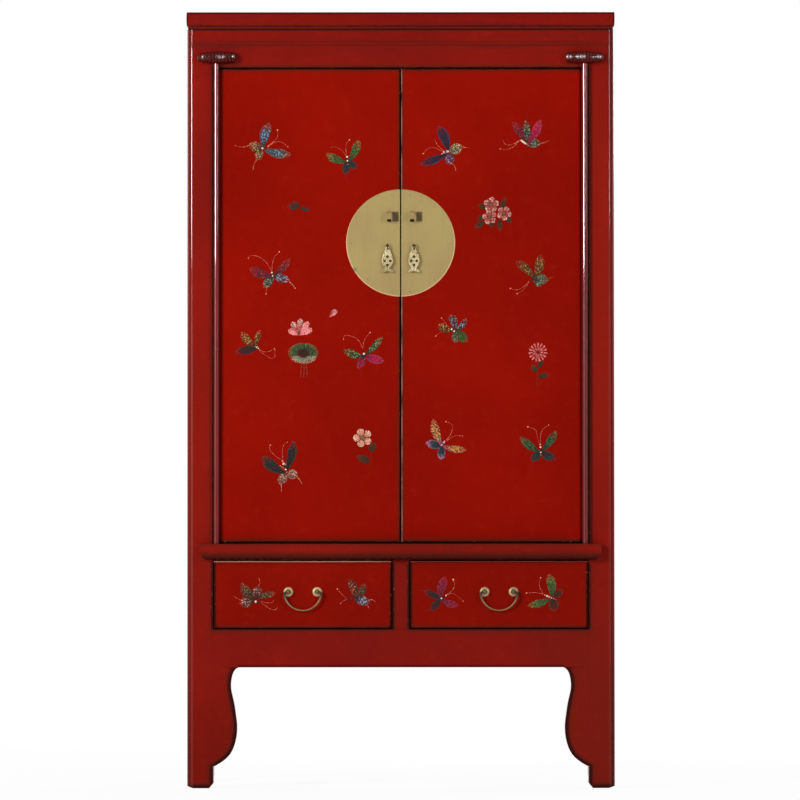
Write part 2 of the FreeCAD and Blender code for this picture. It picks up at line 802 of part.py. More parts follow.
def pendant():
    """The right plaque, hanging on the wire at the bottom of its eye."""
    wire_z = pull_z - pull_loop_radius
    neck_z = wire_z - (pendant_neck_hole - pull_wire_diameter) / 2 + pendant_hang_gap
    top = neck_z + pendant_neck_hole
    back = pull_y + pendant_thickness / 2
    half = pendant_width / 2

    def point(across, down):
        return Vector(pull_x + half * across, back, top - pendant_height * down)

    right = Part.BSplineCurve()
    right.interpolate([point(across, down) for across, down in pendant_shares])
    left = Part.BSplineCurve()
    left.interpolate([point(-across, down) for across, down in reversed(pendant_shares)])
    foot_across, foot_down = pendant_shares[-1]
    notch = point(0, foot_down) + Vector(0, 0, pendant_foot_notch)
    edges = [
        right.toShape(),
        Part.makeLine(point(foot_across, foot_down), notch),
        Part.makeLine(notch, point(-foot_across, foot_down)),
        left.toShape(),
    ]
    plaque = Part.Face(Part.Wire(edges)).extrude(Vector(0, -pendant_thickness, 0))
    centre_z = top - pendant_holes_drop
    spots = [
        (0, neck_z, pendant_neck_hole),
        (0, centre_z + pendant_hole_reach / 2, pendant_hole),
        (0, centre_z - pendant_hole_reach / 2, pendant_hole),
        (pendant_hole_spread / 2, centre_z, pendant_hole),
        (-pendant_hole_spread / 2, centre_z, pendant_hole),
    ]
    for across, z, diameter in spots:
        start = Vector(pull_x + across, back + cut_overrun, z)
        plaque = plaque.cut(rod(diameter, start, Vector(0, -1, 0), pendant_thickness + 2 * cut_overrun))
    return plaque


def door():
    """The right door and its hardware; the left door is its mirror image."""
    panel = block((door_inner, stile_inner), (frame_front, door_back), (door_bottom, door_top))
    free_edges = [
        edge for edge in panel.Edges
        if abs(edge.BoundBox.Center.y - frame_front) < door_arris
        and abs(edge.BoundBox.Center.x - stile_inner) > door_arris
    ]
    panel = panel.makeFillet(door_arris, free_edges)
    batten_bottoms = (
        door_bottom + batten_edge_margin,
        lock_plate_z - middle_batten_drop - batten_height / 2,
        door_top - batten_edge_margin - batten_height,
    )
    battens = [
        block(
            (door_inner + batten_end_margin, door_outer - batten_end_margin),
            (door_back, door_back + batten_thickness),
            (bottom, bottom + batten_height),
        )
        for bottom in batten_bottoms
    ]
    strap, strap_holes = staple()
    eye, eye_hole = pull_loop()
    holes = strap_holes + [eye_hole]
    save_pair("hinge_stile", hinge_stile())
    save_pair("door_panel", cut_all(panel, holes))
    save_pair("door_battens", battens)
    save_pair("lock_plate", cut_all(lock_plate(), holes))
    save_pair("plate_tacks", plate_tacks())
    save_pair("lock_staple", strap)
    save_pair("pull_loop", eye)
    save_pair("pendant", pendant())


drawer_centre = (drawer_inner + drawer_outer) / 2
bail_z = drawer_top - bail_axis_drop
bail_y = frame_front - bail_axis_proud


def bail():
    """A half-round wire handle whose ends turn in to the posts."""
    elbow = math.radians(bail_elbow_angle)
    elbow_radius = bail_half_width * math.sin(elbow) / (1 + math.sin(elbow))
    pin_end = bail_post_spacing / 2 - bail_pin_inset

    def point(across, up):
        return Vector(drawer_centre + across, bail_y, bail_z + up)

    def elbow_point(heading, side):
        centre = bail_half_width - elbow_radius
        across = centre * math.cos(elbow) + elbow_radius * math.sin(heading)
        up = -centre * math.sin(elbow) - elbow_radius * math.cos(heading)
        return point(side * across, up)

    start_heading, end_heading = math.pi / 2 - elbow, math.pi
    middle_heading = (start_heading + end_heading) / 2
    wire_edges = []
    pins = []
    for side in (1, -1):
        start = elbow_point(start_heading, side)
        middle = elbow_point(middle_heading, side)
        end = elbow_point(end_heading, side)
        wire_edges.append(Part.Arc(start, middle, end).toShape())
        inner = point(side * pin_end, 0)
        pins.append(rod(bail_pin_diameter, inner, Vector(side, 0, 0), (end - inner).Length))
    bow = Part.Arc(
        elbow_point(start_heading, 1), point(0, -bail_half_width), elbow_point(start_heading, -1)).toShape()
    path = Part.Wire(Part.__sortEdges__(wire_edges + [bow]))
    begin = path.OrderedEdges[0].Curve.value(path.OrderedEdges[0].FirstParameter)
    tip = begin if abs(begin.z - bail_z) < bail_pin_diameter else path.OrderedVertexes[0].Point
    section = Part.Wire(Part.makeCircle(bail_wire_diameter / 2, tip, Vector(1, 0, 0)))
    return joined([path.makePipeShell([section], True, False)] + pins)


def bail_posts():
    """The posts that hold a bail, each on a domed rosette, pinned through the drawer front."""
    posts = []
    holes = []
    for side in (-1, 1):
        x = drawer_centre + side * bail_post_spacing / 2
        face = Vector(x, frame_front, bail_z)
        forward = Vector(0, -1, 0)
        rosette = Part.makeCone(
            rosette_diameter / 2, rosette_diameter / 2 - rosette_dome, rosette_height, face, forward)
        stem = rod(bail_post_diameter, face, forward, bail_post_length)
        crown = [
            edge for edge in stem.Edges
            if edge.BoundBox.Center.y < frame_front - bail_post_length / 2 and edge.BoundBox.YLength < rosette_dome
        ]
        stem = stem.makeFillet(rosette_dome, crown)
        pin, hole = pin_with_clinch(x, bail_z, frame_front, drawer_box_front)
        eye = rod(
            bail_pin_diameter + 2 * bail_pin_clearance,
            Vector(x - bail_post_diameter, bail_y, bail_z),
            Vector(1, 0, 0),
            2 * bail_post_diameter,
        )
        posts.append(joined([rosette, stem] + pin).cut(eye))
        holes.append(hole)
    return posts, holes


def drawer():
    """The right drawer: front, two sides, back and a bottom let into grooves."""
    side_top = drawer_top - drawer_side_drop
    inner_x = drawer_side_inner + drawer_side_thickness
    outer_x = drawer_side_outer - drawer_side_thickness
    back_front = drawer_box_back - drawer_side_thickness
    bottom_z = (drawer_bottom + drawer_bottom_rise, drawer_bottom + drawer_bottom_rise + drawer_bottom_thickness)
    bottom, groove = grooved_board(
        [(inner_x, outer_x), (drawer_box_front, back_front), bottom_z], thin=2, tongue=drawer_bottom_tongue)

    front = block((drawer_inner, drawer_outer), (frame_front, drawer_box_front), (drawer_bottom, drawer_top))
    face_edges = [
        edge for edge in front.Edges
        if edge.BoundBox.YLength < drawer_front_arris
        and abs(edge.BoundBox.Center.y - frame_front) < drawer_front_arris
    ]
    front = front.makeFillet(drawer_front_arris, face_edges)
    posts, holes = bail_posts()
    save_pair("drawer_front", cut_all(front, [groove] + holes))

    depth = (drawer_box_front, drawer_box_back)
    sides = [
        block((drawer_side_inner, inner_x), depth, (drawer_bottom, side_top)),
        block((outer_x, drawer_side_outer), depth, (drawer_bottom, side_top)),
    ]
    save_pair("drawer_sides", [side.cut(groove) for side in sides])
    back = block(
        (inner_x, outer_x), (back_front, drawer_box_back), (drawer_bottom, side_top - drawer_back_drop))
    save_pair("drawer_back", back.cut(groove))
    save_pair("drawer_bottom", bottom)
    save_pair("bail_posts", posts)
    save_pair("bail", bail())


carcass()
shelves()
drawer_supports()
door()
drawer()
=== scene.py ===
import contextlib
import json
import math

import bpy
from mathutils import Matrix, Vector


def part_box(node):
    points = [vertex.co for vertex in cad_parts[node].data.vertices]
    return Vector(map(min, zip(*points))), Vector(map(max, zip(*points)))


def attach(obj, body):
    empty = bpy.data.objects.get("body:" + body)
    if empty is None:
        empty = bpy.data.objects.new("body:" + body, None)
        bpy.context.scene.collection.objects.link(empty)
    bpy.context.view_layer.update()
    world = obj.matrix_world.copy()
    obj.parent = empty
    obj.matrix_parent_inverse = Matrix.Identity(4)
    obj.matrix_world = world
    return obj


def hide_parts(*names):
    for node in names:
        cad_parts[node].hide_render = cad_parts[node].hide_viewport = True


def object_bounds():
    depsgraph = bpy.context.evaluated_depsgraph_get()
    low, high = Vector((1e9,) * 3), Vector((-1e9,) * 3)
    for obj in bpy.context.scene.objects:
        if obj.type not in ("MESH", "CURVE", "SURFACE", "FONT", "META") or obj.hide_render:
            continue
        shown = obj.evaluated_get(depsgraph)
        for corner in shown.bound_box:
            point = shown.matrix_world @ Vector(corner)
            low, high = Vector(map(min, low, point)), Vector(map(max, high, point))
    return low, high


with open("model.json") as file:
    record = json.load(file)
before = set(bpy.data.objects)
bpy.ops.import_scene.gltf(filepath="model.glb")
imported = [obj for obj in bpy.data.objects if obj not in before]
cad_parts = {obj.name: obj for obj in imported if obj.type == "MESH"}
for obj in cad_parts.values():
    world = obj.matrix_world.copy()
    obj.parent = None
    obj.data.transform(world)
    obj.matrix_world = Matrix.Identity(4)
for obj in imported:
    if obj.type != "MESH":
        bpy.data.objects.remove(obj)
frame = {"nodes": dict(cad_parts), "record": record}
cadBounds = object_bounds()
scene = bpy.context.scene
mm = 0.001
print("frame loaded:", len(frame["nodes"]), "nodes")

# Planes of the front, from the frame
doorLow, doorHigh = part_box("right_door_panel")
drawerLow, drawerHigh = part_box("right_drawer_front")
plateLow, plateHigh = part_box("right_lock_plate")
frontFace = doorLow.y
plateFace = plateLow.y
plateCentreZ = (plateLow.z + plateHigh.z) / 2


def linear(part):
    share = part / 255
    return share / 12.92 if share <= 0.04045 else ((share + 0.055) / 1.055) ** 2.4


def fromScreen(colour):  # a colour as a screen shows it, 0 to 255, made linear
    return (*(linear(part) for part in colour), 1.0)


# Camera, lamps, world and floor
studio = {
    "photoPixel": 2.4475 * mm,        # size of one photo pixel on the front of the cabinet
    "photoWidth": 800,
    "cabinetMiddle": 400.9,           # photo pixel under the middle of the cabinet
    "floorLine": 787.6,               # photo pixel of the floor under the middle
    "distance": 14.0,
    "sensor": 36.0,
    "roll": math.radians(0.04),
    "lookUp": math.radians(1.5),
    "floorRadius": 14.0,
    "floorFade": (1.3, 3.2),
    "floorTone": (0.9, 0.9, 0.9, 1),
    "floorLift": 0.92,                # share of plain white in what the camera sees of the floor
    "ambient": 0.15,
    "lamps": (
        # name, place, aim, width, height, watts
        ("keyLamp", (-4.7, -5.3, 2.95), (0, -0.2, 1.2), 1.1, 2.7, 398),
        ("fillLamp", (4.8, -5.6, 2.7), (0, -0.2, 1.5), 0.35, 1.9, 122),
        ("topLamp", (0.2, -1.6, 4.8), (0, 0, 1.4), 1.2, 0.8, 6),
        ("backLamp", (1.8, 4.6, 3.0), (0, 0.2, 1.0), 2.4, 2.4, 190),
        ("leftLamp", (-4.6, 1.6, 2.2), (0, 0, 1.0), 1.8, 1.8, 70),
        ("rightLamp", (4.8, 1.2, 2.2), (0, 0, 1.0), 1.8, 1.8, 70),
    ),
}
photoMiddle = studio["photoWidth"] / 2
cameraX = (photoMiddle - studio["cabinetMiddle"]) * studio["photoPixel"]
aimZ = (studio["floorLine"] - photoMiddle) * studio["photoPixel"]
cameraAhead = studio["distance"] * math.cos(studio["lookUp"])
cameraDrop = studio["distance"] * math.sin(studio["lookUp"])


def onFront(column, row):  # where a photo pixel lies on the cabinet's front, as x and z
    right = (column - photoMiddle) * studio["photoPixel"]
    up = (photoMiddle - row) * studio["photoPixel"]
    cosine, sine = math.cos(studio["roll"]), math.sin(studio["roll"])
    right, up = right * cosine + up * sine, up * cosine - right * sine
    nearer = 1 - up * math.sin(studio["lookUp"]) / cameraAhead
    return Vector((cameraX + right / nearer, aimZ + up / math.cos(studio["lookUp"]) / nearer))


class Signal:  # a shader socket that can be worked with like a number
    def __init__(self, finish, socket):
        self.finish = finish
        self.socket = socket

    def maths(self, operation, *others):
        return self.finish.node("ShaderNodeMath", {"operation": operation}, dict(enumerate((self, *others))))

    def __add__(self, other):
        return self.maths("ADD", other)

    def __sub__(self, other):
        return self.maths("SUBTRACT", other)

    def __rsub__(self, other):
        return self.finish.node("ShaderNodeMath", {"operation": "SUBTRACT"}, {0: other, 1: self})

    def __mul__(self, other):
        return self.maths("MULTIPLY", other)

    def __abs__(self):
        return self.maths("ABSOLUTE")

    __radd__ = __add__
    __rmul__ = __mul__

    def least(self, other):
        return self.maths("MINIMUM", other)

    def most(self, other):
        return self.maths("MAXIMUM", other)

    def step(self, low, high):  # 0 below low, 1 above high, smooth between
        return self.finish.node(
            "ShaderNodeMapRange", {"interpolation_type": "SMOOTHSTEP"},
            {"Value": self, "From Min": low, "From Max": high})

    def rise(self, low, high):  # the same in millimetres
        return self.step(low * mm, high * mm)

    def fall(self, low, high):
        return 1 - self.rise(low, high)

    def band(self, low, high, soft):
        return self.rise(low - soft, low + soft) * self.fall(high - soft, high + soft)


class Finish:  # one node tree: a material, or the world
    def __init__(self, name, tree=None):
        if tree is None:
            self.material = bpy.data.materials.new(name)
            self.material.use_nodes = True
            tree = self.material.node_tree
        self.tree = tree
        self.tree.nodes.clear()

    def node(self, kind, settings=None, inputs=None, out=0):
        made = self.tree.nodes.new(kind)
        for name, value in (settings or {}).items():
            if name == "stops":
                ramp = made.color_ramp.elements
                for place, colour in value[1:-1]:
                    ramp.new(place).color = colour
                for index in (0, -1):
                    ramp[index].position, ramp[index].color = value[index]
            else:
                setattr(made, name, value)
        for name, value in (inputs or {}).items():
            if isinstance(value, Signal):
                self.tree.links.new(value.socket, made.inputs[name])
            else:
                made.inputs[name].default_value = value
        return Signal(self, made.outputs[out]) if made.outputs else None

    def mix(self, amount, first, second):  # two colours, each a socket or as a screen shows it
        ends = [fromScreen(colour) if isinstance(colour, tuple) else colour for colour in (first, second)]
        settings = {"data_type": "RGBA", "clamp_factor": True}
        return self.node("ShaderNodeMix", settings, {0: amount, 6: ends[0], 7: ends[1]}, out=2)

    def vector(self, operation, first, second=(0, 0, 0), out=0):
        return self.node("ShaderNodeVectorMath", {"operation": operation}, {0: first, 1: second}, out)

    def place(self):
        return self.node("ShaderNodeTexCoord", out=3)

    def noise(self, spot, scale, detail=2.0, rough=0.5, stretch=None):
        if stretch:
            spot = self.vector("MULTIPLY", spot, stretch)
        inputs = {"Vector": spot, "Scale": scale, "Detail": detail, "Roughness": rough}
        return self.node("ShaderNodeTexNoise", {"normalize": True}, inputs)

    def cells(self, spot, scale):  # distance from the middle of the nearest cell
        return self.node("ShaderNodeTexVoronoi", {"feature": "F1"}, {"Vector": spot, "Scale": scale})

    def axes(self, spot):
        split = self.node("ShaderNodeSeparateXYZ", inputs={0: spot})
        return [Signal(self, socket) for socket in split.socket.node.outputs]

    def painted(self, name, out=0):  # an attribute of the mesh: 0 its colour, 2 its number
        return self.node("ShaderNodeAttribute", {"attribute_name": name}, out=out)

    def surface(self, colour, roughness, bump, bumpDepth, constants):
        normal = self.node("ShaderNodeBump", inputs={"Strength": 1.0, "Distance": bumpDepth, "Height": bump})
        inputs = {"Base Color": colour, "Roughness": roughness, "Normal": normal, **constants}
        shader = self.node("ShaderNodeBsdfPrincipled", inputs=inputs)
        self.node("ShaderNodeOutputMaterial", inputs={"Surface": shader})
        return self.material


def makeCamera():
    turn = (math.radians(90) + studio["lookUp"], studio["roll"], 0)
    bpy.ops.object.camera_add(location=(cameraX, frontFace - cameraAhead, aimZ - cameraDrop), rotation=turn)
    scene.camera = bpy.context.object
    lens = scene.camera.data
    lens.sensor_fit = "HORIZONTAL"
    lens.sensor_width = studio["sensor"]
    lens.lens = studio["sensor"] * studio["distance"] / (studio["photoPixel"] * studio["photoWidth"])
    lens.clip_end = 100


def makeLamps():
    for name, place, aim, width, height, watts in studio["lamps"]:
        turn = (Vector(aim) - Vector(place)).to_track_quat("-Z", "Y").to_euler()
        bpy.ops.object.light_add(type="AREA", location=place, rotation=turn)
        lamp = bpy.context.object
        lamp.name = name
        lamp.data.shape = "RECTANGLE"
        lamp.data.energy = watts
        lamp.data.size, lamp.data.size_y = width, height


def seenDirectly(finish):  # camera, glossy and see-through rays
    rays = finish.node("ShaderNodeLightPath").socket.node.outputs
    camera, glossy, through = (Signal(finish, rays[name]) for name in (
        "Is Camera Ray", "Is Glossy Ray", "Is Transmission Ray"))
    return camera.most(glossy).most(through)


def makeWorld():
    world = bpy.data.worlds.new("studioWorld")
    scene.world = world
    world.use_nodes = True
    finish = Finish("studioWorld", world.node_tree)
    direct = seenDirectly(finish)
    strength = direct + (1 - direct) * studio["ambient"]
    shine = finish.node("ShaderNodeBackground", inputs={"Color": (1, 1, 1, 1), "Strength": strength})
    finish.node("ShaderNodeOutputWorld", inputs={"Surface": shine})


def makeFloor():
    bpy.ops.mesh.primitive_circle_add(
        vertices=96, radius=studio["floorRadius"], fill_type="NGON", location=(0, 0, cadBounds[0][2]))
    floor = bpy.context.object
    floor.name = "studioFloor"
    bpy.ops.object.transform_apply(location=True)
    finish = Finish("studioFloor")
    distance = finish.vector("LENGTH", finish.place(), out=1)
    fade = distance.step(*studio["floorFade"]).most(studio["floorLift"]) * seenDirectly(finish)
    matt = finish.node("ShaderNodeBsdfDiffuse", inputs={"Color": studio["floorTone"]})
    white = finish.node("ShaderNodeEmission", inputs={"Color": (1, 1, 1, 1), "Strength": 1.0})
    both = finish.node("ShaderNodeMixShader", inputs={0: fade, 1: matt, 2: white})
    finish.node("ShaderNodeOutputMaterial", inputs={"Surface": both})
    floor.data.materials.append(finish.material)


scene.view_settings.view_transform = "Standard"
makeCamera()
makeLamps()
makeWorld()
makeFloor()
print("studio ready")


# Lacquer: its lengths and heights are in millimetres
lacquer = {
    # deep and light red of each kind of piece
    "tones": {
        "doors": ((126, 11, 2), (140, 14, 3)),
        "drawers": ((120, 12, 3), (137, 16, 4)),
        "frame": ((114, 17, 9), (132, 21, 11)),
        # the next two are darker reds: painted shade at the head and the foot of the frame
        "frameHeadShade": ((110, 15, 7), (126, 19, 10)),
        "frameFootShade": ((111, 16, 6), (128, 19, 8)),
        "turned": ((84, 10, 8), (110, 14, 12)),
        "blocks": ((50, 7, 5), (84, 12, 10)),
    },
    "warm": (160, 32, 16),
    # purple for a painted reflection, streaked by brush marks, on the head and cap
    "purpleReflection": (92, 18, 24),
    # black of the undercoat, also used for painted shade
    "underCoatAndShade": (40, 4, 2),
    # brown beside the black lines, also used for painted shade
    "brownCoatAndShade": (78, 27, 16),
    "underWings": (76, 12, 8),
    "chip": (214, 138, 120),
    # colour of the painted highlight along the drawers' top edge
    "topHighlightColour": (255, 176, 150),
    "wood": (112, 74, 45),
    "woodDark": (78, 48, 28),
    "doorLine": (1.9, 4.6),           # black paint along an edge: full up to the first, gone at the second
    "doorHalo": (1, 19),              # the brownish shade beside it
    "doorFootHalo": (0, 27),
    "besidePole": (428, 446, 2),      # no shade here: it lies under the pole
    "panelEdge": (10, 26),
    "drawerSideLine": (3.9, 7.6),
    "drawerFootLine": (2.2, 5.4),
    "drawerHalo": (1, 18),
    "wander": 1.6,
    "gapMiddle": 1.5,
    "onFront": (-1, 6, 0.5),          # depths from the doors' face that take these lines
    "aheadOfFront": (-1.5, -0.5),
    # painted light and shade over the frame: darker towards its foot and its head, paler on its right post,
    # browner on its right leg
    "footShadeHeights": (150, 300),
    "headShadeHeights": (1700, 1830),
    "paintedLightPost": ((460, 475), (600, 900), (1500, 1800)),
    "paintedShadeLeg": ((250, 470), (250, 600)),
    # painted reflection: purple brush streaks from these heights up
    "brushedSheen": (1780, 1810),
    "headerBand": (1814.5, 1828, 3),
    # the posts' outer arris, below the cap and on the proud faces alone: black paint that partly stands in for
    # a dark reflection
    "postArris": (512.6, 515.4),
    "postHalo": (503, 514),
    "belowCap": (1857, 1859),
    "proudFaces": (-234, -229),
    "arrisFades": ((100, 500), (1000, 1500)),
    # cap and neck
    "capTop": (1893.5, 1896.5),
    "capFoot": (1866, 1872),
    "capEnd": (520.5, 522.5),
    "capFaces": ((1866, 1867), (1899.6, 1899.9)),
    # dark lines at the neck: black paint, and painted shade in the recess
    "neckLines": ((1857.6, (1.2, 3.2), 0.95), (1865.4, (0.8, 2.4), 0.8)),
    "neckShade": (1853, 1868, 3),
    # ledge: painted shade on its lower moulding, and a dark band along its top
    "ledgeShadeFade": (561, 584),
    "ledgeShadeFoot": (556, 558),
    "ledgeHigh": ((585, 596), (598, 600)),
    # legs and apron
    "legFaces": (-239, -236),
    "apronLine": (293, 301, 3.5),
    "apronEnd": (396, 402),
    "apronFoot": (294.5, 295),
    "apronInside": (395, 396),
    "footTop": (53.5, 54.5),
    "footInside": 459,
    "bracketTop": 300,
    "bracketWide": 500,
    "bracketLine": (4.5, 12.5),
    "bracketHalo": (5, 21),
    "haloTop": (272, 292),
    # the bracket's edge: height and half width, and how much its run narrows a level band
    "bracket": ((54, 455.2, 0.5), (65, 436.8, 0.58), (76, 424.0, 0.71), (86, 415.9, 0.85), (99, 409.3, 0.93),
                (116, 404.1, 0.97), (142, 400.7, 1), (157, 400.9, 1), (195, 405.8, 0.99), (215, 409.4, 0.98),
                (236, 414.2, 0.98), (247, 415.6, 1), (254, 415.7, 1), (266, 414.4, 0.99), (277, 411.9, 0.96),
                (286.5, 407.6, 0.86), (291, 403.5, 0.67), (294.3, 398.3, 0.32), (295, 396.4, 0.3)),
    # pale lines: a painted highlight at the drawers' top, and a line beside the gap of the doors
    "drawerTopHighlight": (552.4, 556, 0.4),
    "drawerTopHighlightFades": (-120, 60),
    "gapLine": (2.6, (0.7, 1.6)),
    # bare wood begins behind these planes
    "inside": {"front": -221.5, "drawer": -225.5, "side": 505.3, "back": 259.3, "bottom": 352, "top": 1886.5},
    # bright lines of the polish: place or height of each, and where it fades
    "poleMiddle": 451,
    # painted shade down the sides of each pole
    "poleSideShade": (4.6, 6.4),
    "poleTop": (1768, 1772),
    "crest": (2.4, 2.8),              # from the middle of each pole to its brightest line
    "crestSides": (0.2, 0.8),
    "glossFade": (900, 1350),
    "postCrest": 512.5,
    "postCrestSides": (0.2, 0.9),
    "postFades": ((1150, 1600), (1806, 1816)),
    "blockCrest": ((1783, 1785), (1792, 1794)),
    # name of the material: kind, specular level, roughness, coat's index, bump, plane where its inside begins
    "finishes": {
        "redLacquer": ("frame", 0.05, 0.16, None, 0.0002, "front"),
        "redDoorLacquer": ("doors", 0.025, 0.16, None, 0.0002, "front"),
        "redDrawerLacquer": ("drawers", 0.025, 0.16, None, 0.0002, "drawer"),
        "polishedLacquer": ("frame", 0.15, 0.03, 1.7, 0.00001, "front"),
        "turnedLacquer": ("turned", 0.35, 0.03, 2.3, 0.00001, "front"),
        "blockLacquer": ("blocks", 0.12, 0.02, 2.2, 0.00001, "front"),
    },
}


def awayFrom(side, z, low, high):  # distance from the outline of a rectangle on the front
    across = abs(side - (low.x + high.x) / 2) - (high.x - low.x) / 2
    return across.most(abs(z - (low.z + high.z) / 2) - (high.z - low.z) / 2)


def redOf(finish, spot, kind, cloud, mottle):  # the red itself, with clouds, streaks and brush marks, and on the frame painted light, painted shade and a painted purple reflection
    x, y, z = finish.axes(spot)
    tones = lacquer["tones"]
    deep, light = tones[kind]
    if kind == "frame":
        # painted shade: the frame's red goes darker towards its foot and its head
        low, high = z.rise(*lacquer["footShadeHeights"]), z.rise(*lacquer["headShadeHeights"])
        deep, light = (finish.mix(high, finish.mix(low, foot, middle), head) for foot, middle, head in zip(
            tones["frameFootShade"], tones["frame"], tones["frameHeadShade"]))
    colour = finish.mix(cloud.step(0.3, 0.75), deep, light)
    colour = finish.mix(mottle.step(0.5, 0.9) * 0.3, colour, lacquer["warm"])
    streak = finish.noise(spot, 9.0, 3.0, 0.6, stretch=(6.0, 6.0, 0.35))
    colour = finish.mix(streak.step(0.5, 0.8) * 0.25, colour, deep)
    if kind == "frame":
        # painted light: a paler red on the right post at mid height
        across, foot, head = lacquer["paintedLightPost"]
        paintedLight = x.rise(*across) * z.rise(*foot) * z.fall(*head)
        colour = finish.mix(paintedLight * 0.33, colour, lacquer["warm"])
        # painted shade: a browner right leg
        across, head = lacquer["paintedShadeLeg"]
        colour = finish.mix(x.rise(*across) * z.fall(*head) * 0.3, colour, lacquer["brownCoatAndShade"])
    # painted reflection: purple streaks along brush marks on the head and cap
    brushedSheen = finish.noise(spot, 16.0, 3.0, 0.62, stretch=(0.2, 1.0, 5.0)).step(0.46, 0.72)
    return finish.mix(brushedSheen * z.rise(*lacquer["brushedSheen"]) * 0.5, colour, lacquer["purpleReflection"])


def doorPaint(side, z, wander):  # a black line with a brown shade beside it, all round
    gap = lacquer["gapMiddle"] * mm
    away = awayFrom(side, z, doorLow, Vector((drawerHigh.x, 0, doorHigh.z)))
    away = abs(away - gap) + wander
    inPanel = (z - doorLow.z).least(doorHigh.z - z).rise(*lacquer["panelEdge"])
    halo = away.fall(*lacquer["doorHalo"]) * (1 - side.band(*lacquer["besidePole"]) * inPanel)
    foot = (abs(z - doorLow.z + gap) + wander).fall(*lacquer["doorFootHalo"])
    foot = foot * (z - doorLow.z).rise(-2, 0) * (side - doorHigh.x).fall(0, 4)
    return away.fall(*lacquer["doorLine"]), halo.most(foot)


def drawerPaint(side, z, wander):  # the same at the sides and foot of a drawer
    away = abs(awayFrom(side, z, drawerLow, drawerHigh) - lacquer["gapMiddle"] * mm) + wander
    sides = away.fall(*lacquer["drawerSideLine"]) * (z - drawerLow.z).rise(-3, 0) * 0.85
    sides = sides * (1 - (side - drawerLow.x).rise(7, 9) * (side - drawerHigh.x).fall(-9, -7))
    below = (z - drawerHigh.z).fall(-8, -2)
    core = (away.fall(*lacquer["drawerFootLine"]) * 0.6).most(sides) * below
    return core, away.fall(*lacquer["drawerHalo"]) * below


def capPaint(side, z, wander):
    top = (z + wander).rise(*lacquer["capTop"]) * 0.7
    foot = (z + wander).fall(*lacquer["capFoot"]) * 0.45
    end = (side + wander).rise(*lacquer["capEnd"]) * 0.8
    above, below = lacquer["capFaces"]
    cap = top.most(foot).most(end) * z.rise(*above) * z.fall(*below)
    for height, sides, strength in lacquer["neckLines"]:
        cap = cap.most(abs(z - height * mm).fall(*sides) * strength)
    return cap


def bracketLines(finish, side, z):  # distance from the cut outline of legs and apron; a metre is far away
    top, wide = lacquer["bracketTop"], lacquer["bracketWide"]
    stops = [(height / top, (half / wide, narrow, 0, 1)) for height, half, narrow in lacquer["bracket"]]
    ramp = finish.node("ShaderNodeValToRGB", {"stops": stops}, {0: z * (1 / (top * mm))})
    edge, narrow = finish.axes(ramp)[:2]
    inFoot = z.fall(*lacquer["footTop"])
    cut = (side - edge * (wide * mm)) * narrow + side.fall(*lacquer["apronInside"])
    cut = cut + z.rise(*lacquer["apronFoot"]) + inFoot
    foot = lacquer["footInside"]
    inner = side - foot * mm + (1 - inFoot) + side.fall(foot - 1, foot)
    return cut.least(inner).least(z + (1 - inFoot))


def legPaint(finish, side, z, wander):  # black edge and brown shade of that outline, and of the header
    cut = bracketLines(finish, side, z) + wander
    apron = z.band(*lacquer["apronLine"]) * side.fall(*lacquer["apronEnd"]) * 0.75
    dark = (cut.fall(*lacquer["bracketLine"]) * 0.95).most(apron)
    shade = cut.fall(*lacquer["bracketHalo"]) * z.fall(*lacquer["haloTop"]) * 0.7
    return dark, shade.most((z + wander).band(*lacquer["headerBand"]) * 0.28)


def crestOf(kind, x, z, mottle):  # where the polish has its bright line
    side = abs(x)
    if kind == "turned":
        left, right = (lacquer["poleMiddle"] + way * off for way, off in zip((1, -1), lacquer["crest"]))
        away = abs(x + left * mm).least(abs(x - right * mm))
        return away.fall(*lacquer["crestSides"]) * z.rise(*lacquer["glossFade"])
    if kind == "frame":
        foot, head = lacquer["postFades"]
        line = abs(side - lacquer["postCrest"] * mm).fall(*lacquer["postCrestSides"])
        return line * z.rise(*foot) * z.fall(*head) * (1 - x.rise(-1, 1) * 0.75)
    low, high = lacquer["blockCrest"]
    return z.rise(*low) * z.fall(*high) * mottle.step(0.47, 0.53)


def insideOf(side, y, z, front):  # every face that looks into the cabinet
    room = lacquer["inside"]
    inside = side.fall(room["side"] - 0.2, room["side"]) * y.rise(room[front] - 0.2, room[front])
    inside = inside * y.fall(room["back"], room["back"] + 0.2)
    return inside * z.rise(room["bottom"], room["bottom"] + 0.2) * z.fall(room["top"], room["top"] + 0.2)


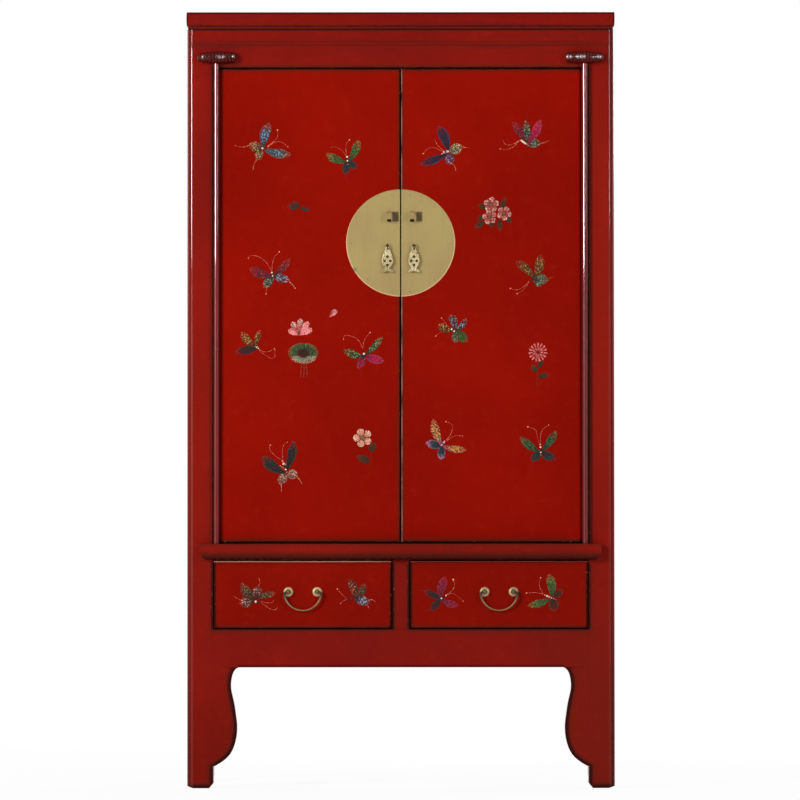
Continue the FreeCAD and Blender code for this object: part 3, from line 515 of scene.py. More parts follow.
def lacquerFinish(name):
    kind, shine, gloss, coat, bumpDepth, room = lacquer["finishes"][name]
    finish = Finish(name)
    spot = finish.place()
    x, y, z = finish.axes(spot)
    side = abs(x)
    cloud = finish.noise(spot, 3.2, 3.0)
    mottle = finish.noise(spot, 42.0, 4.0, 0.6)
    wander = (finish.noise(spot, 26.0, 3.0, 0.65) - 0.5) * (lacquer["wander"] * 2 * mm)
    calm = wander * 0.25
    colour = redOf(finish, spot, kind, cloud, mottle)

    # black lines and brown shades
    front = (y - frontFace).band(*lacquer["onFront"])
    doorCore, doorHalo = doorPaint(side, z, wander)
    drawerCore, drawerHalo = drawerPaint(side, z, wander)
    core = doorCore.most(drawerCore) * front
    halo = doorHalo.most(drawerHalo) * front
    outer = y.fall(*lacquer["proudFaces"]) * z.fall(*lacquer["belowCap"])
    # black paint on the posts' outer arris, weakest at mid height; partly a painted dark reflection
    low, high = lacquer["arrisFades"]
    strength = 0.5 - z.rise(*low) * 0.3 + z.rise(*high) * 0.2
    arris = (side + calm).rise(*lacquer["postArris"]) * outer * strength
    halo = halo.most((side + calm).rise(*lacquer["postHalo"]) * outer * 0.5)
    proud = (y - frontFace).fall(*lacquer["aheadOfFront"])
    # painted shade on the ledge's lower moulding, which faces down
    ledge = (z + wander).fall(*lacquer["ledgeShadeFade"]) * z.rise(*lacquer["ledgeShadeFoot"]) * proud
    low, high = lacquer["ledgeHigh"]
    ledgeTop = z.rise(*low) * z.fall(*high) * proud * 0.45
    dark = core.most(arris).most(capPaint(side, z, wander)).most(ledge * 0.5)
    brown = (halo * halo * 0.85).most(ledge * 0.9).most(ledgeTop).most(z.band(*lacquer["neckShade"]) * 0.45)
    if kind == "frame":
        ahead = y.fall(*lacquer["legFaces"])
        legDark, legBrown = legPaint(finish, side, z, wander)
        dark, brown = dark.most(legDark * ahead), brown.most(legBrown * ahead)
    if kind == "turned":
        # painted shade down the sides of each pole
        poleSideShade = abs(side - lacquer["poleMiddle"] * mm).rise(*lacquer["poleSideShade"])
        dark = dark.most(poleSideShade * z.fall(*lacquer["poleTop"]) * proud * 0.35)
    colour = finish.mix(brown, colour, lacquer["brownCoatAndShade"])
    colour = finish.mix(dark * 0.95, colour, lacquer["underCoatAndShade"])

    # small pale chips where the edges are rubbed, a pale line beside the gap of the doors, and a painted
    # highlight along the drawers' top
    broken = finish.noise(spot, 70.0, 3.0, 0.6, stretch=(0.25, 1.0, 0.25))
    chips = finish.noise(spot, 330.0, 2.0, 0.6, stretch=(1.0, 1.0, 0.4)).step(0.64, 0.71) * core.most(arris)
    middle, sides = lacquer["gapLine"]
    gapLine = abs(x - middle * mm).fall(*sides) * front * broken.step(0.3, 0.6)
    gapLine = gapLine * (z - doorLow.z).rise(-2, 0) * (z - doorHigh.z).fall(0, 1)
    worn = (chips * 0.4).most(gapLine * 0.5)
    colour = finish.mix(worn, colour, lacquer["chip"])
    # painted highlight along the drawers' top edge, mostly on the left drawer
    drawerTopHighlight = z.band(*lacquer["drawerTopHighlight"]) * awayFrom(side, z, drawerLow, drawerHigh).fall(0.2, 0.4)
    drawerTopHighlight = drawerTopHighlight * (y - frontFace).fall(5, 6) * broken.step(0.22, 0.4)
    drawerTopHighlight = drawerTopHighlight * (1 - x.rise(*lacquer["drawerTopHighlightFades"]) * 0.85)
    colour = finish.mix(drawerTopHighlight, colour, lacquer["topHighlightColour"])

    inside = insideOf(side, y, z, room)
    grain = finish.noise(spot, 30.0, 4.0, 0.6, stretch=(1.0, 1.0, 0.06))
    bare = finish.mix(grain.step(0.35, 0.7), lacquer["woodDark"], lacquer["wood"])
    colour = finish.mix(inside, colour, bare)

    height = mottle * 0.5 + finish.noise(spot, 150.0, 2.0) * 0.35 - worn * 0.6
    constants = {"Specular IOR Level": shine, "IOR": 1.48}
    roughness = mottle * 0.08 + gloss + cloud * 0.06 + dark * 0.08 + inside * 0.35
    if coat:  # a bright line in the polish, which is dulled lower down
        crest = crestOf(kind, x, z, mottle)
        constants.update({"Coat Weight": crest, "Coat IOR": coat, "Coat Roughness": 0.04})
        roughness = mottle * 0.03 + gloss + z.fall(*lacquer["glossFade"]) * 0.35
    return finish.surface(colour, roughness, height, bumpDepth, constants)


def rubbedFinish():  # the thin dark arris of the moulded pieces
    finish = Finish("rubbedArris")
    spot = finish.place()
    patch = finish.noise(spot, 34.0, 4.0, 0.65)
    colour = finish.mix(patch.step(0.42, 0.64), lacquer["underCoatAndShade"], lacquer["tones"]["frame"][0])
    specks = finish.noise(spot, 420.0, 2.0, 0.6).step(0.66, 0.72)
    colour = finish.mix(specks * 0.4, colour, lacquer["chip"])
    return finish.surface(colour, patch * 0.15 + 0.14, patch, 0.0002, {"Specular IOR Level": 0.15})


def woodFinish():
    finish = Finish("plainWood")
    spot = finish.place()
    bend = finish.noise(spot, 2.6, 2.0) * 0.05
    rings = finish.noise(spot, 15.0, 4.0, 0.6, stretch=(0.25, 4.0, 4.0))
    pores = finish.noise(spot, 260.0, 2.0, 0.5, stretch=(0.12, 1.0, 1.0))
    colour = finish.mix((rings + bend).step(0.35, 0.68), lacquer["woodDark"], lacquer["wood"])
    colour = finish.mix(pores.step(0.55, 0.75) * 0.4, colour, lacquer["woodDark"])
    return finish.surface(colour, pores * 0.2 + 0.5, pores, 0.00015, {"Specular IOR Level": 0.3})


metal = {
    # name of the material: a lighter and a darker brass, its colour for stains and for painted shade, how much
    # it stains, roughness, metal, specular level
    "finishes": {
        "paleBrass": ((156, 137, 84), (150, 128, 80), (92, 116, 70), 0.2, 0.5, 0.5, 0.5),
        "creamBrass": ((222, 205, 164), (176, 156, 108), (12, 9, 4), 0.5, 0.4, 0.4, 0.12),
        "oldBrass": ((112, 93, 54), (74, 60, 32), (62, 46, 18), 0.6, 0.38, 0.5, 0.5),
        "stapleBrass": ((170, 148, 100), (122, 100, 58), (12, 9, 4), 0.4, 0.4, 0.4, 0.12),
        "agedBrass": ((146, 120, 78), (100, 80, 46), (34, 27, 12), 0.5, 0.34, 0.5, 0.5),
        "rosetteBrass": ((196, 168, 124), (140, 114, 74), (34, 27, 12), 0.4, 0.4, 0.4, 0.5),
    },
    "paleCool": (136, 127, 74),
    # the pale line round the plate's edge is a painted highlight
    "rim": (224, 172, 130),
    # colour of the painted shadows beside the staples
    "stapleShadowColour": (62, 46, 18),
    # colour of tarnish, and of painted shade, on darkened brass
    "darkeningColour": (34, 27, 12),
    # millimetres from here on
    # where the painted highlight round the plate's edge lies
    "rimHighlightAt": (130.8, 132.2),
    "rimStainAt": (116, 128),
    "stapleHeight": 1398,
    # painted shade at the foot of each staple
    "stapleFoot": (-9, -6),
    # painted shadows of the staples on the plate: across, and height round them
    "stapleShadow": ((-21, -5, 2), (38, 53, 2)),
    "stapleShadowHeight": (10, 14),
    "pullX": 32.4,
    "plaqueHoles": ((0, 25.0), (-7, 35.5), (7, 35.5), (0, 46.0)),
    # size of the painted shade round each hole of the plaques
    "holes": (3.0, 3.7),
}
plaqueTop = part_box("left_pendant")[1].z


def plateStainsAndPaintedLight(finish, spot, colour):  # a painted highlight as a pale line inside the edge, stains near it, and painted shadows beside the staples
    x, y, z = finish.axes(spot)
    flat = finish.vector("MULTIPLY", spot, (1, 0, 1))
    away = finish.vector("DISTANCE", flat, (0, 0, plateCentreZ), out=1)
    stains = finish.noise(spot, 30.0, 3.0, 0.6).step(0.58, 0.7) * away.rise(*metal["rimStainAt"]) * 0.8
    # painted highlight: a pale line just inside the plate's edge
    colour = finish.mix(away.rise(*metal["rimHighlightAt"]) * 0.75, colour, metal["rim"])
    # painted shadow of each staple on the plate, to its right
    left, right = metal["stapleShadow"]
    height = abs(z - metal["stapleHeight"] * mm).fall(*metal["stapleShadowHeight"])
    stapleShadow = x.band(*left).most(x.band(*right)) * height * 0.85
    return finish.mix(stapleShadow, colour, metal["stapleShadowColour"]), stains


def plaqueStainsAndHoleShade(finish, spot):  # painted shade, black round the four holes; and black in the hollows of the casting
    x, y, z = finish.axes(spot)
    stains = finish.cells(spot, 330.0).step(0.52, 0.68) * 0.55
    for across, drop in metal["plaqueHoles"]:
        aside = abs(x) - (metal["pullX"] - across) * mm
        up = z - (plaqueTop - drop * mm)
        stains = stains.most((aside * aside + up * up).maths("SQRT").fall(*metal["holes"]))
    return stains


def brassFinish(name):
    *tones, stainAmount, roughness, metallic, specular = metal["finishes"][name]
    light, shade, stainAndShadeColour = tones
    finish = Finish(name)
    spot = finish.place()
    isPlate = name == "paleBrass"
    colour = finish.mix(finish.noise(spot, 11.0, 4.0, 0.6).step(0.3, 0.7), shade, light)
    streak = finish.noise(spot, 60.0, 4.0, 0.62, stretch=(3.0, 1.0, 0.12) if isPlate else None)
    colour = finish.mix(streak.step(0.5, 0.75) * 0.45, colour, metal["paleCool"] if isPlate else shade)
    stainsAndShade = finish.noise(spot, 85.0, 5.0, 0.7).step(0.6, 0.78) * stainAmount
    if isPlate:
        colour, stains = plateStainsAndPaintedLight(finish, spot, colour)
        stainsAndShade = stainsAndShade.most(stains)
    if name == "stapleBrass":
        # painted shade at the foot of each staple
        stainsAndShade = stainsAndShade.most((finish.axes(spot)[2] - metal["stapleHeight"] * mm).fall(*metal["stapleFoot"]))
    if name == "creamBrass":
        # painted shade round the plaque's holes, and stains
        stainsAndShade = stainsAndShade.most(plaqueStainsAndHoleShade(finish, spot))
    # darkening: tarnish, and painted shade on the plaques' sides and round the bail posts' stems
    age = finish.painted("age", 2)
    colour = finish.mix(stainsAndShade, colour, stainAndShadeColour)
    colour = finish.mix(age, colour, metal["darkeningColour"])
    height = streak * 0.6 + finish.noise(spot, 420.0, 2.0) * 0.3
    gloss = streak * 0.14 + roughness + stainsAndShade * 0.2 + age * 0.3
    constants = {"Metallic": metallic, "Specular IOR Level": specular}
    return finish.surface(colour, gloss, height, 0.00012, constants)


def paintFinish(name):  # the colours of the painted motifs, from their own attributes
    finish = Finish(name)
    spot = finish.place()
    colour = finish.painted("paint")
    ground = lacquer["tones"]["doors"][1]
    speckle = finish.painted("speckle", 2)
    if name == "linePaint":  # thin strokes, broken into dots
        colour = finish.mix(finish.cells(spot, 240.0).step(0.3, 0.5) * speckle, colour, ground)
    else:
        across, along = finish.axes(finish.node("ShaderNodeUVMap"))[1::-1]
        edge = abs(across * 2 - 1)
        wobble = (finish.noise(spot, 120.0) - 0.5) * 0.16
        veins = ((across + wobble) * 25.0).maths("SINE")
        vein, rimPaint = finish.painted("vein"), finish.painted("rim")
        cell = finish.cells(spot, 250.0)
        rim = (edge + wobble).step(0.62, 0.95).most(along.step(0.9, 1.0))
        net = cell.step(0.4, 0.54).most(rim * 0.7).most((1 - along.step(0.04, 0.3)) * 0.9)
        lights = (1 - cell.step(0.14, 0.28)) * speckle * (along.step(0.3, 0.9) * 0.5 + 0.35)
        colour = finish.mix(veins.step(0.35, 0.95) * 0.22, colour, vein)
        colour = finish.mix(net * speckle, colour, vein)
        colour = finish.mix(lights, colour, rimPaint)
        colour = finish.mix(rim * (1 - speckle) * 0.4, colour, rimPaint)
        worn = finish.noise(spot, 300.0, 1.5, 0.5) + (finish.painted("bare", 2) - 0.5) * 0.3
        worn = worn + along.step(0.6, 1.0) * 0.09 + edge.step(0.55, 1.0) * 0.06
        ground = finish.mix(along.step(0.5, 1.0), lacquer["underWings"], ground)
        colour = finish.mix(worn.step(0.46, 0.56), colour, ground)
    brush = finish.noise(spot, 260.0, 3.0, 0.6)
    colour = finish.mix(brush.step(0.4, 0.7) * 0.25, colour, lacquer["underCoatAndShade"])
    return finish.surface(colour, brush * 0.2 + 0.3, brush, 0.00015, {"Specular IOR Level": 0.15})


finishes = {name: lacquerFinish(name) for name in lacquer["finishes"]}
finishes.update((name, brassFinish(name)) for name in metal["finishes"])
finishes.update((name, paintFinish(name)) for name in ("motifPaint", "linePaint"))
finishes.update({"rubbedArris": rubbedFinish(), "plainWood": woodFinish()})
print("finishes ready")


# Wood: each CAD board gets a copy with its sharp edges eased
boards = {
    # width of the eased edge in millimetres, by the end of the node's name
    "easing": {"header_rail": 0.35, "front_apron": 0.35, "front_post": 0.5, "spandrel": 0.2,
               "pivot_block": 0.5, "drawer_front": 0.6, "door_panel": 0.3, "hinge_stile": 0.3},
    "otherEasing": 0.9,
    "darkArris": ("cap_", "ledge", "spandrel"),
    "lacquers": {"drawer_front": "redDrawerLacquer", "pivot_block": "blockLacquer",
                 "hinge_stile": "redDoorLacquer", "door_panel": "redDoorLacquer"},
    # pieces with rounded faces: their finish, and the steepest face that takes it
    "rounded": {"front_post": ("polishedLacquer", 0.45), "hinge_stile": ("turnedLacquer", 1.1)},
    "capEnd": 3.5 * mm,
    "squareEnd": 0.25,                # how much of the cap's end moulding is kept
    # the worn outer arris of the front posts: middle of the CAD arc, and the wider arc it wears to
    "arris": (513 * mm, -233 * mm, 506.5 * mm, -226.5 * mm, 16.5 * mm),
    "arrisStart": 0.1 * mm,
    "segments": 2,
    "angle": 32,
    "flatAngle": 0.5,
    "weld": 0.01 * mm,
    "turnedFace": 0.12,               # a face leaning this much is part of a rounding
}
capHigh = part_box("cap_front_rail")[1]
sides = (("left", -1), ("right", 1))
facing = (math.radians(90), 0, 0)     # turns what stands upright towards the front


def nodesOfSlot(slot):
    return [part["node"] for part in frame["record"]["subparts"] if part["material_slot"] == slot]


def bodyOf(node):
    return next(body for body, nodes in frame["record"]["behaviour"]["bodies"].items() if node in nodes)


def byEnding(table, node, other=None):
    return next((value for ending, value in table.items() if node.endswith(ending)), other)


def only(*pieces):  # these and no others are selected; the first is active
    bpy.ops.object.select_all(action="DESELECT")
    for piece in pieces:
        piece.select_set(True)
    bpy.context.view_layer.objects.active = pieces[0]


@contextlib.contextmanager
def editing(piece, outward=False):  # edit mode with all selected; with outward, all faces are turned outward at the end
    only(piece)
    bpy.ops.object.mode_set(mode="EDIT")
    bpy.ops.mesh.select_all(action="SELECT")
    yield
    if outward:
        bpy.ops.mesh.select_all(action="SELECT")
        bpy.ops.mesh.normals_make_consistent(inside=False)
    bpy.ops.object.mode_set(mode="OBJECT")


def added(primitive, **settings):  # a new piece, its place, turn and size applied
    bpy.ops.object.select_all(action="DESELECT")
    primitive(**settings)
    bpy.ops.object.transform_apply(location=True, rotation=True, scale=True)
    return bpy.context.object


def applied(piece, kind, **settings):
    only(piece)
    modifier = piece.modifiers.new("shaping", kind)
    for key, value in settings.items():
        setattr(modifier, key, value)
    bpy.ops.object.modifier_apply(modifier=modifier.name)
    return piece


def bevelled(piece, width, segments=2, angle=None, **settings):
    if angle:
        settings.update(limit_method="ANGLE", angle_limit=math.radians(angle))
    return applied(piece, "BEVEL", width=width, segments=segments, **settings)


def smoothed(piece, angle=35):
    only(piece)
    bpy.ops.object.shade_smooth_by_angle(angle=math.radians(angle))
    return piece


def flatFaced(piece):
    return applied(smoothed(piece), "WEIGHTED_NORMAL", weight=100, keep_sharp=True)


def merged(*pieces):
    only(*pieces)
    if len(pieces) > 1:
        bpy.ops.object.join()
    return bpy.context.object


def coated(piece, *names):
    piece.data.materials.clear()
    for name in names:
        piece.data.materials.append(finishes[name])
    return piece


def finished(piece, name, body, slot, *replaced):
    piece.name = name
    piece.data.name = name
    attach(piece, body)
    if replaced:
        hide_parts(*replaced)
    return piece


def marked(piece, name, kind, values):  # an attribute: one value for all points, or a list of values
    attribute = piece.data.attributes.new(name, kind, "POINT")
    for index, entry in enumerate(attribute.data):
        value = values[index] if isinstance(values, list) else values
        setattr(entry, "value" if kind == "FLOAT" else "color", value)
    return piece


def wornShape(piece, node):  # moves the posts' round arris to a wider round, and squares the cap's ends
    middleX, middleY, newX, newY, radius = boards["arris"]
    for vertex in piece.data.vertices:
        x, y, z = vertex.co
        across, ahead = abs(x) - middleX, middleY - y
        if node.endswith("front_post") and min(across, ahead) > -boards["arrisStart"]:
            turn = math.atan2(max(across, 0), max(ahead, 0))
            vertex.co.x = math.copysign(newX + radius * math.sin(turn), x)
            vertex.co.y = newY - radius * math.cos(turn)
        if node.startswith("cap_") and abs(x) > capHigh.x - boards["capEnd"]:
            vertex.co.x = math.copysign(capHigh.x - (capHigh.x - abs(x)) * boards["squareEnd"], x)


def copyOf(node, *names):  # the CAD piece with finishes of its own
    copy = bpy.data.objects.new(node, frame["nodes"][node].data.copy())
    scene.collection.objects.link(copy)
    for face in copy.data.polygons:
        face.material_index = 0
    return coated(copy, *names)


def easedCopy(node, slot, *names):  # names of the finishes of its faces, its edges and its roundings
    copy = copyOf(node, *names)
    with editing(copy):
        bpy.ops.mesh.remove_doubles(threshold=boards["weld"])
    wornShape(copy, node)
    with editing(copy):
        bpy.ops.mesh.dissolve_limited(angle_limit=math.radians(boards["flatAngle"]))
    places = [vertex.co for vertex in copy.data.vertices]
    corners = [[limit(place[axis] for place in places) for axis in range(3)] for limit in (min, max)]
    width = byEnding(boards["easing"], node, boards["otherEasing"]) * mm
    bevelled(copy, width, boards["segments"], boards["angle"], material=min(len(names) - 1, 1))
    for vertex in copy.data.vertices:  # a sharp mitre may not be lifted past the board
        vertex.co = [min(max(value, low), high) for value, low, high in zip(vertex.co, *corners)]
    if len(names) > 2:
        steepest = byEnding(boards["rounded"], node)[1]
        for face in copy.data.polygons:
            leaning = sorted(abs(part) for part in face.normal)[1]
            if face.material_index == 0 and leaning > boards["turnedFace"] and abs(face.normal.x) < steepest:
                face.material_index = 2
    return finished(flatFaced(copy), node + "_eased", bodyOf(node), slot, node)


for node in nodesOfSlot("red_lacquer"):
    main = byEnding(boards["lacquers"], node, "redLacquer")
    edge = "rubbedArris" if any(word in node for word in boards["darkArris"]) else main
    easedCopy(node, "red_lacquer", main, edge, *byEnding(boards["rounded"], node, ())[:1])
for node in nodesOfSlot("plain_wood"):
    easedCopy(node, "plain_wood", "plainWood")
print("boards ready")


# Brass on the doors; profiles are radius and height in millimetres
plate = {
    "radius": 133.5 * mm,
    "inner": 1.5 * mm,
    "thickness": 1.5 * mm,
    "edge": 0.8 * mm,
    "sides": 160,
    "tackRing": 122.0 * mm,
    "height": 0.984,                  # the plate is not quite round
    "tackAngles": (10.5, 42.0, 90.0, 138.0, 169.5),
    "tackProfile": ((2.2, 0), (2.2, 0.25), (1.9, 0.7), (1.3, 1.05), (0.6, 1.2)),
}
pull = {
    "y": -251.8 * mm,
    "z": 1325.0 * mm,
    "ring": 5.5 * mm,
    "wire": 1.3 * mm,
    "age": 0.8,
    "pin": 1.7 * mm,
    "clinch": (22 * mm, 1.5 * mm, 3.4 * mm),
    "clinchEdge": 0.4 * mm,
    "washer": ((4.6, 0), (4.6, 0.5), (3.8, 1.2), (2.4, 1.6), (1.8, 1.5)),
}
plaque = {
    "half": 13.5 * mm,
    "drop": 63.0 * mm,
    # half width and drop of the raised line inside the edge, as shares
    "line": ((0.14, 0.165), (0.36, 0.205), (0.46, 0.27), (0.64, 0.33), (0.72, 0.4), (0.82, 0.475),
             (0.82, 0.59), (0.7, 0.67), (0.48, 0.755), (0.34, 0.83), (0.46, 0.885), (0.7, 0.93),
             (0.66, 0.955), (0.2, 0.925)),
    "lineRadius": 0.5 * mm,
    "rings": ((0, 0.397), (-0.52, 0.563), (0.52, 0.563), (0, 0.73)),
    "ringRadius": 2.9 * mm,
    "beads": ((0, 0.25), (0, 0.31), (0.33, 0.42), (-0.33, 0.42), (0, 0.563), (0.3, 0.68), (-0.3, 0.68),
              (0, 0.81), (0, 0.875), (0.42, 0.93), (-0.42, 0.93), (0.88, 0.96), (-0.88, 0.96)),
    "beadRadius": 1.0 * mm,
    "edge": 0.3 * mm,
    "reliefAge": 0.15,
    "sideShade": 0.85,
    "faceDepth": 0.6 * mm,
}


def turned(profile, place, count):  # built up towards the front
    radius, height = profile[0]
    centre = Vector(place) - Vector((0, height * mm, 0))
    piece = added(bpy.ops.mesh.primitive_circle_add, vertices=count, radius=radius * mm, fill_type="NGON",
                  location=centre, rotation=facing)
    with editing(piece, outward=True):
        for nextRadius, nextHeight in profile[1:]:
            rise = (0, -(nextHeight - height) * mm, 0)
            bpy.ops.mesh.extrude_region_move(TRANSFORM_OT_translate={"value": rise})
            centre = centre + Vector(rise)
            share = nextRadius / radius
            bpy.ops.transform.resize(value=(share, 1, share), center_override=centre)
            radius, height = nextRadius, nextHeight
    return piece


def pinAndClinch(x, z, start, back):  # a pin through the wood, bent over behind
    length, thick, wide = pull["clinch"]
    end = back + thick / 2
    pin = added(bpy.ops.mesh.primitive_cylinder_add, vertices=16, radius=pull["pin"], depth=abs(end - start),
                location=(x, (start + end) / 2, z), rotation=facing)
    bent = added(bpy.ops.mesh.primitive_cube_add, size=1, location=(x, end, z), scale=(length, thick, wide))
    return [pin, bevelled(bent, pull["clinchEdge"])]


def ring(place, radius, thick, turn, around=28, across=10):
    return added(bpy.ops.mesh.primitive_torus_add, major_radius=radius, minor_radius=thick,
                 major_segments=around, minor_segments=across, location=place, rotation=turn)


def bead(place, size, fineness=2):
    return added(bpy.ops.mesh.primitive_ico_sphere_add, subdivisions=fineness, radius=1,
                 location=place, scale=size)


def wire(points, radius, fineness, radii=None, closed=False):  # a smooth tube through points, made a mesh
    piece = added(bpy.ops.curve.primitive_bezier_curve_add, location=(0, 0, 0))
    spline = piece.data.splines[0]
    spline.bezier_points.add(len(points) - 2)
    for knot, point, thick in zip(spline.bezier_points, points, radii or [1] * len(points)):
        knot.co = point
        knot.handle_left_type = knot.handle_right_type = "AUTO"
        knot.radius = thick
    spline.use_cyclic_u = closed
    spline.resolution_u = 5
    piece.data.bevel_depth = radius
    piece.data.bevel_resolution = fineness
    piece.data.use_fill_caps = True
    bpy.ops.object.convert(target="MESH")
    with editing(piece, outward=True):
        bpy.ops.mesh.remove_doubles(threshold=0.005 * mm)
    return piece


def darkened(piece, darkness):  # how dark the brass is at each point: tarnish, and painted shade on the plaques' sides and round the bail posts' stems
    return marked(piece, "age", "FLOAT", darkness)


def brass(pieces, finish, name, body, slot, node, angle=50):
    return finished(smoothed(coated(merged(*pieces), finish), angle), name, body, slot, node)


def lowered(piece):
    foot = plateCentreZ - plate["radius"]
    for vertex in piece.data.vertices:
        vertex.co.z = foot + (vertex.co.z - foot) * plate["height"]
    return piece


def makeLockPlate(side, sign):
    thick = plate["thickness"]
    piece = added(bpy.ops.mesh.primitive_circle_add, vertices=plate["sides"], radius=plate["radius"],
                  fill_type="NGON", location=(0, plateFace + thick, plateCentreZ), rotation=facing)
    with editing(piece, outward=True):
        bpy.ops.mesh.bisect(
            plane_co=(sign * plate["inner"], 0, 0), plane_no=(sign, 0, 0), clear_inner=True, use_fill=False)
        bpy.ops.mesh.select_all(action="SELECT")
        bpy.ops.mesh.extrude_region_move(TRANSFORM_OT_translate={"value": (0, -thick, 0)})
    piece = coated(lowered(bevelled(piece, plate["edge"], 3, 60)), "paleBrass")
    finished(flatFaced(piece), side + "LockPlate", side + "_door", "pale_brass", side + "_lock_plate")
    tacks = []
    for angle in plate["tackAngles"]:
        turn = math.radians(angle)
        x = sign * plate["tackRing"] * math.sin(turn)
        z = plateCentreZ + plate["tackRing"] * math.cos(turn)
        tacks.append(lowered(turned(plate["tackProfile"], (x, plateFace, z), 18)))
    brass(tacks, "paleBrass", side + "PlateTacks", side + "_door", "pale_brass", side + "_plate_tacks")


def makePull(side, sign):
    x = sign * metal["pullX"] * mm
    eye = ring((x, pull["y"], pull["z"]), pull["ring"], pull["wire"], (0, math.radians(90), 0))
    washer = turned(pull["washer"], (x, plateFace, pull["z"]), 24)
    pin = pinAndClinch(x, pull["z"], pull["y"] + pull["ring"], doorHigh.y)
    pieces = [darkened(eye, pull["age"]), darkened(washer, pull["age"]), *pin]
    brass(pieces, "oldBrass", side + "PullEye", side + "_door", "pale_brass", side + "_pull_loop")


def makePlaque(side):
    node = side + "_pendant"
    low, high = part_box(node)

    def spot(across, drop):
        return Vector(((low.x + high.x) / 2 + across * plaque["half"], low.y, high.z - drop * plaque["drop"]))

    outline = [spot(across, drop) for across, drop in plaque["line"]]
    outline += [spot(-across, drop) for across, drop in reversed(plaque["line"])]
    thick, size = plaque["lineRadius"], plaque["beadRadius"]
    relief = merged(
        wire(outline, thick, 2, closed=True),
        *(ring(spot(*place), plaque["ringRadius"], thick, facing, 20, 8) for place in plaque["rings"]),
        *(bead(spot(*place), (size, size * 0.8, size)) for place in plaque["beads"]))
    cast = copyOf(node)
    with editing(cast):
        bpy.ops.mesh.remove_doubles(threshold=boards["weld"])
        bpy.ops.mesh.dissolve_limited(angle_limit=math.radians(boards["flatAngle"]))
    bevelled(cast, plaque["edge"], angle=50)
    face = low.y + plaque["faceDepth"]
    # painted shade on the plaque's sides and back
    darkValues = [0.0 if vertex.co.y < face else plaque["sideShade"] for vertex in cast.data.vertices]
    pieces = (darkened(cast, darkValues), darkened(relief, plaque["reliefAge"]))
    brass(pieces, "creamBrass", side + "Plaque", node, "pale_brass", node, angle=30)


for side, sign in sides:
    makeLockPlate(side, sign)
    makePull(side, sign)
    makePlaque(side)
    easedCopy(side + "_lock_staple", "pale_brass", "stapleBrass")
print("door brass ready")


# Bails and their posts on the drawers
bail = {
    "postSpacing": 70.5 * mm,
    "axisY": -253.0 * mm,
    "axisZ": 479.5 * mm,
    "radius": 45.5 * mm,
    # rosette and stem
    "post": ((12.0, 0), (12.0, 0.7), (11.5, 1.5), (10.2, 2.6), (8.4, 3.5), (6.8, 3.9), (5.6, 3.6), (5.0, 3.1),
             (4.5, 3.3), (4.3, 5.0), (4.3, 12.6), (4.0, 14.0), (3.0, 14.8), (1.2, 15.0)),
    # dark ring round the stem: patina, and painted shade cast by the stem and the bail's end
    "darkRing": (4.0 * mm, 7.2 * mm),
    "postDarkening": (0.75, 0.9, 0.15),    # on the stem, beside it, and on the rosette's face
    "pinAge": 0.5,
    # across, down, and thickness of the wire, in mm, from the pin to the bottom of the bow
    "wire": ((31.5, 0, 1.7), (38.5, 0, 1.8), (41.5, 0.2, 2.1), (44.3, 3.2, 2.7)),
    "bow": ((-13, 2.9), (-24, 2.6), (-36, 2.3), (-48, 2.05), (-60, 1.85), (-72, 1.7), (-82, 1.62)),
    "bowFoot": 1.8,
}


def makeBail(side, sign):
    middle = sign * (drawerLow.x + drawerHigh.x) / 2
    axisZ, radius = bail["axisZ"], bail["radius"]
    low, high = bail["darkRing"]
    stemDark, ringDark, faceDark = bail["postDarkening"]
    posts = []
    for way in (-1, 1):
        x = middle + way * bail["postSpacing"] / 2
        post = turned(bail["post"], (x, frontFace, axisZ), 36)
        darkValues = []
        for vertex in post.data.vertices:
            away = math.hypot(vertex.co.x - x, vertex.co.z - axisZ)
            # beside the stem: patina and painted shade
            beside = ringDark * max(0.0, 1 - (away - low) / (high - low))
            darkValues.append(stemDark if away < low else beside if vertex.co.y < frontFace - 2 * mm else faceDark)
        posts.append(darkened(post, darkValues))
        pin = pinAndClinch(x, axisZ, frontFace - 1 * mm, drawerHigh.y)
        posts += [darkened(part, bail["pinAge"]) for part in pin]
    brass(posts, "rosetteBrass", side + "BailPosts", side + "_drawer", "aged_brass", side + "_bail_posts")

    half = [(across * mm, down * mm, thick) for across, down, thick in bail["wire"]]
    for angle, thick in bail["bow"]:
        turn = math.radians(angle)
        half.append((radius * math.cos(turn), -radius * math.sin(turn), thick))
    path = half + [(0, radius, bail["bowFoot"])]
    path += [(-across, down, thick) for across, down, thick in reversed(half)]
    points = [(middle + across, bail["axisY"], axisZ - down) for across, down, thick in path]
    bow = wire(points, 1 * mm, 6, [thick for across, down, thick in path])
    # the bow is darker towards its top
    rises = [(vertex.co.z - axisZ) / radius + 1 for vertex in bow.data.vertices]
    darkened(bow, [0.2 + 0.7 * max(0.0, min(1.0, (rise - 0.45) * 2.4)) for rise in rises])
    brass([bow], "agedBrass", side + "Bail", side + "_bail", "aged_brass", side + "_bail", angle=80)


for side, sign in sides:
    makeBail(side, sign)
print("bails ready")


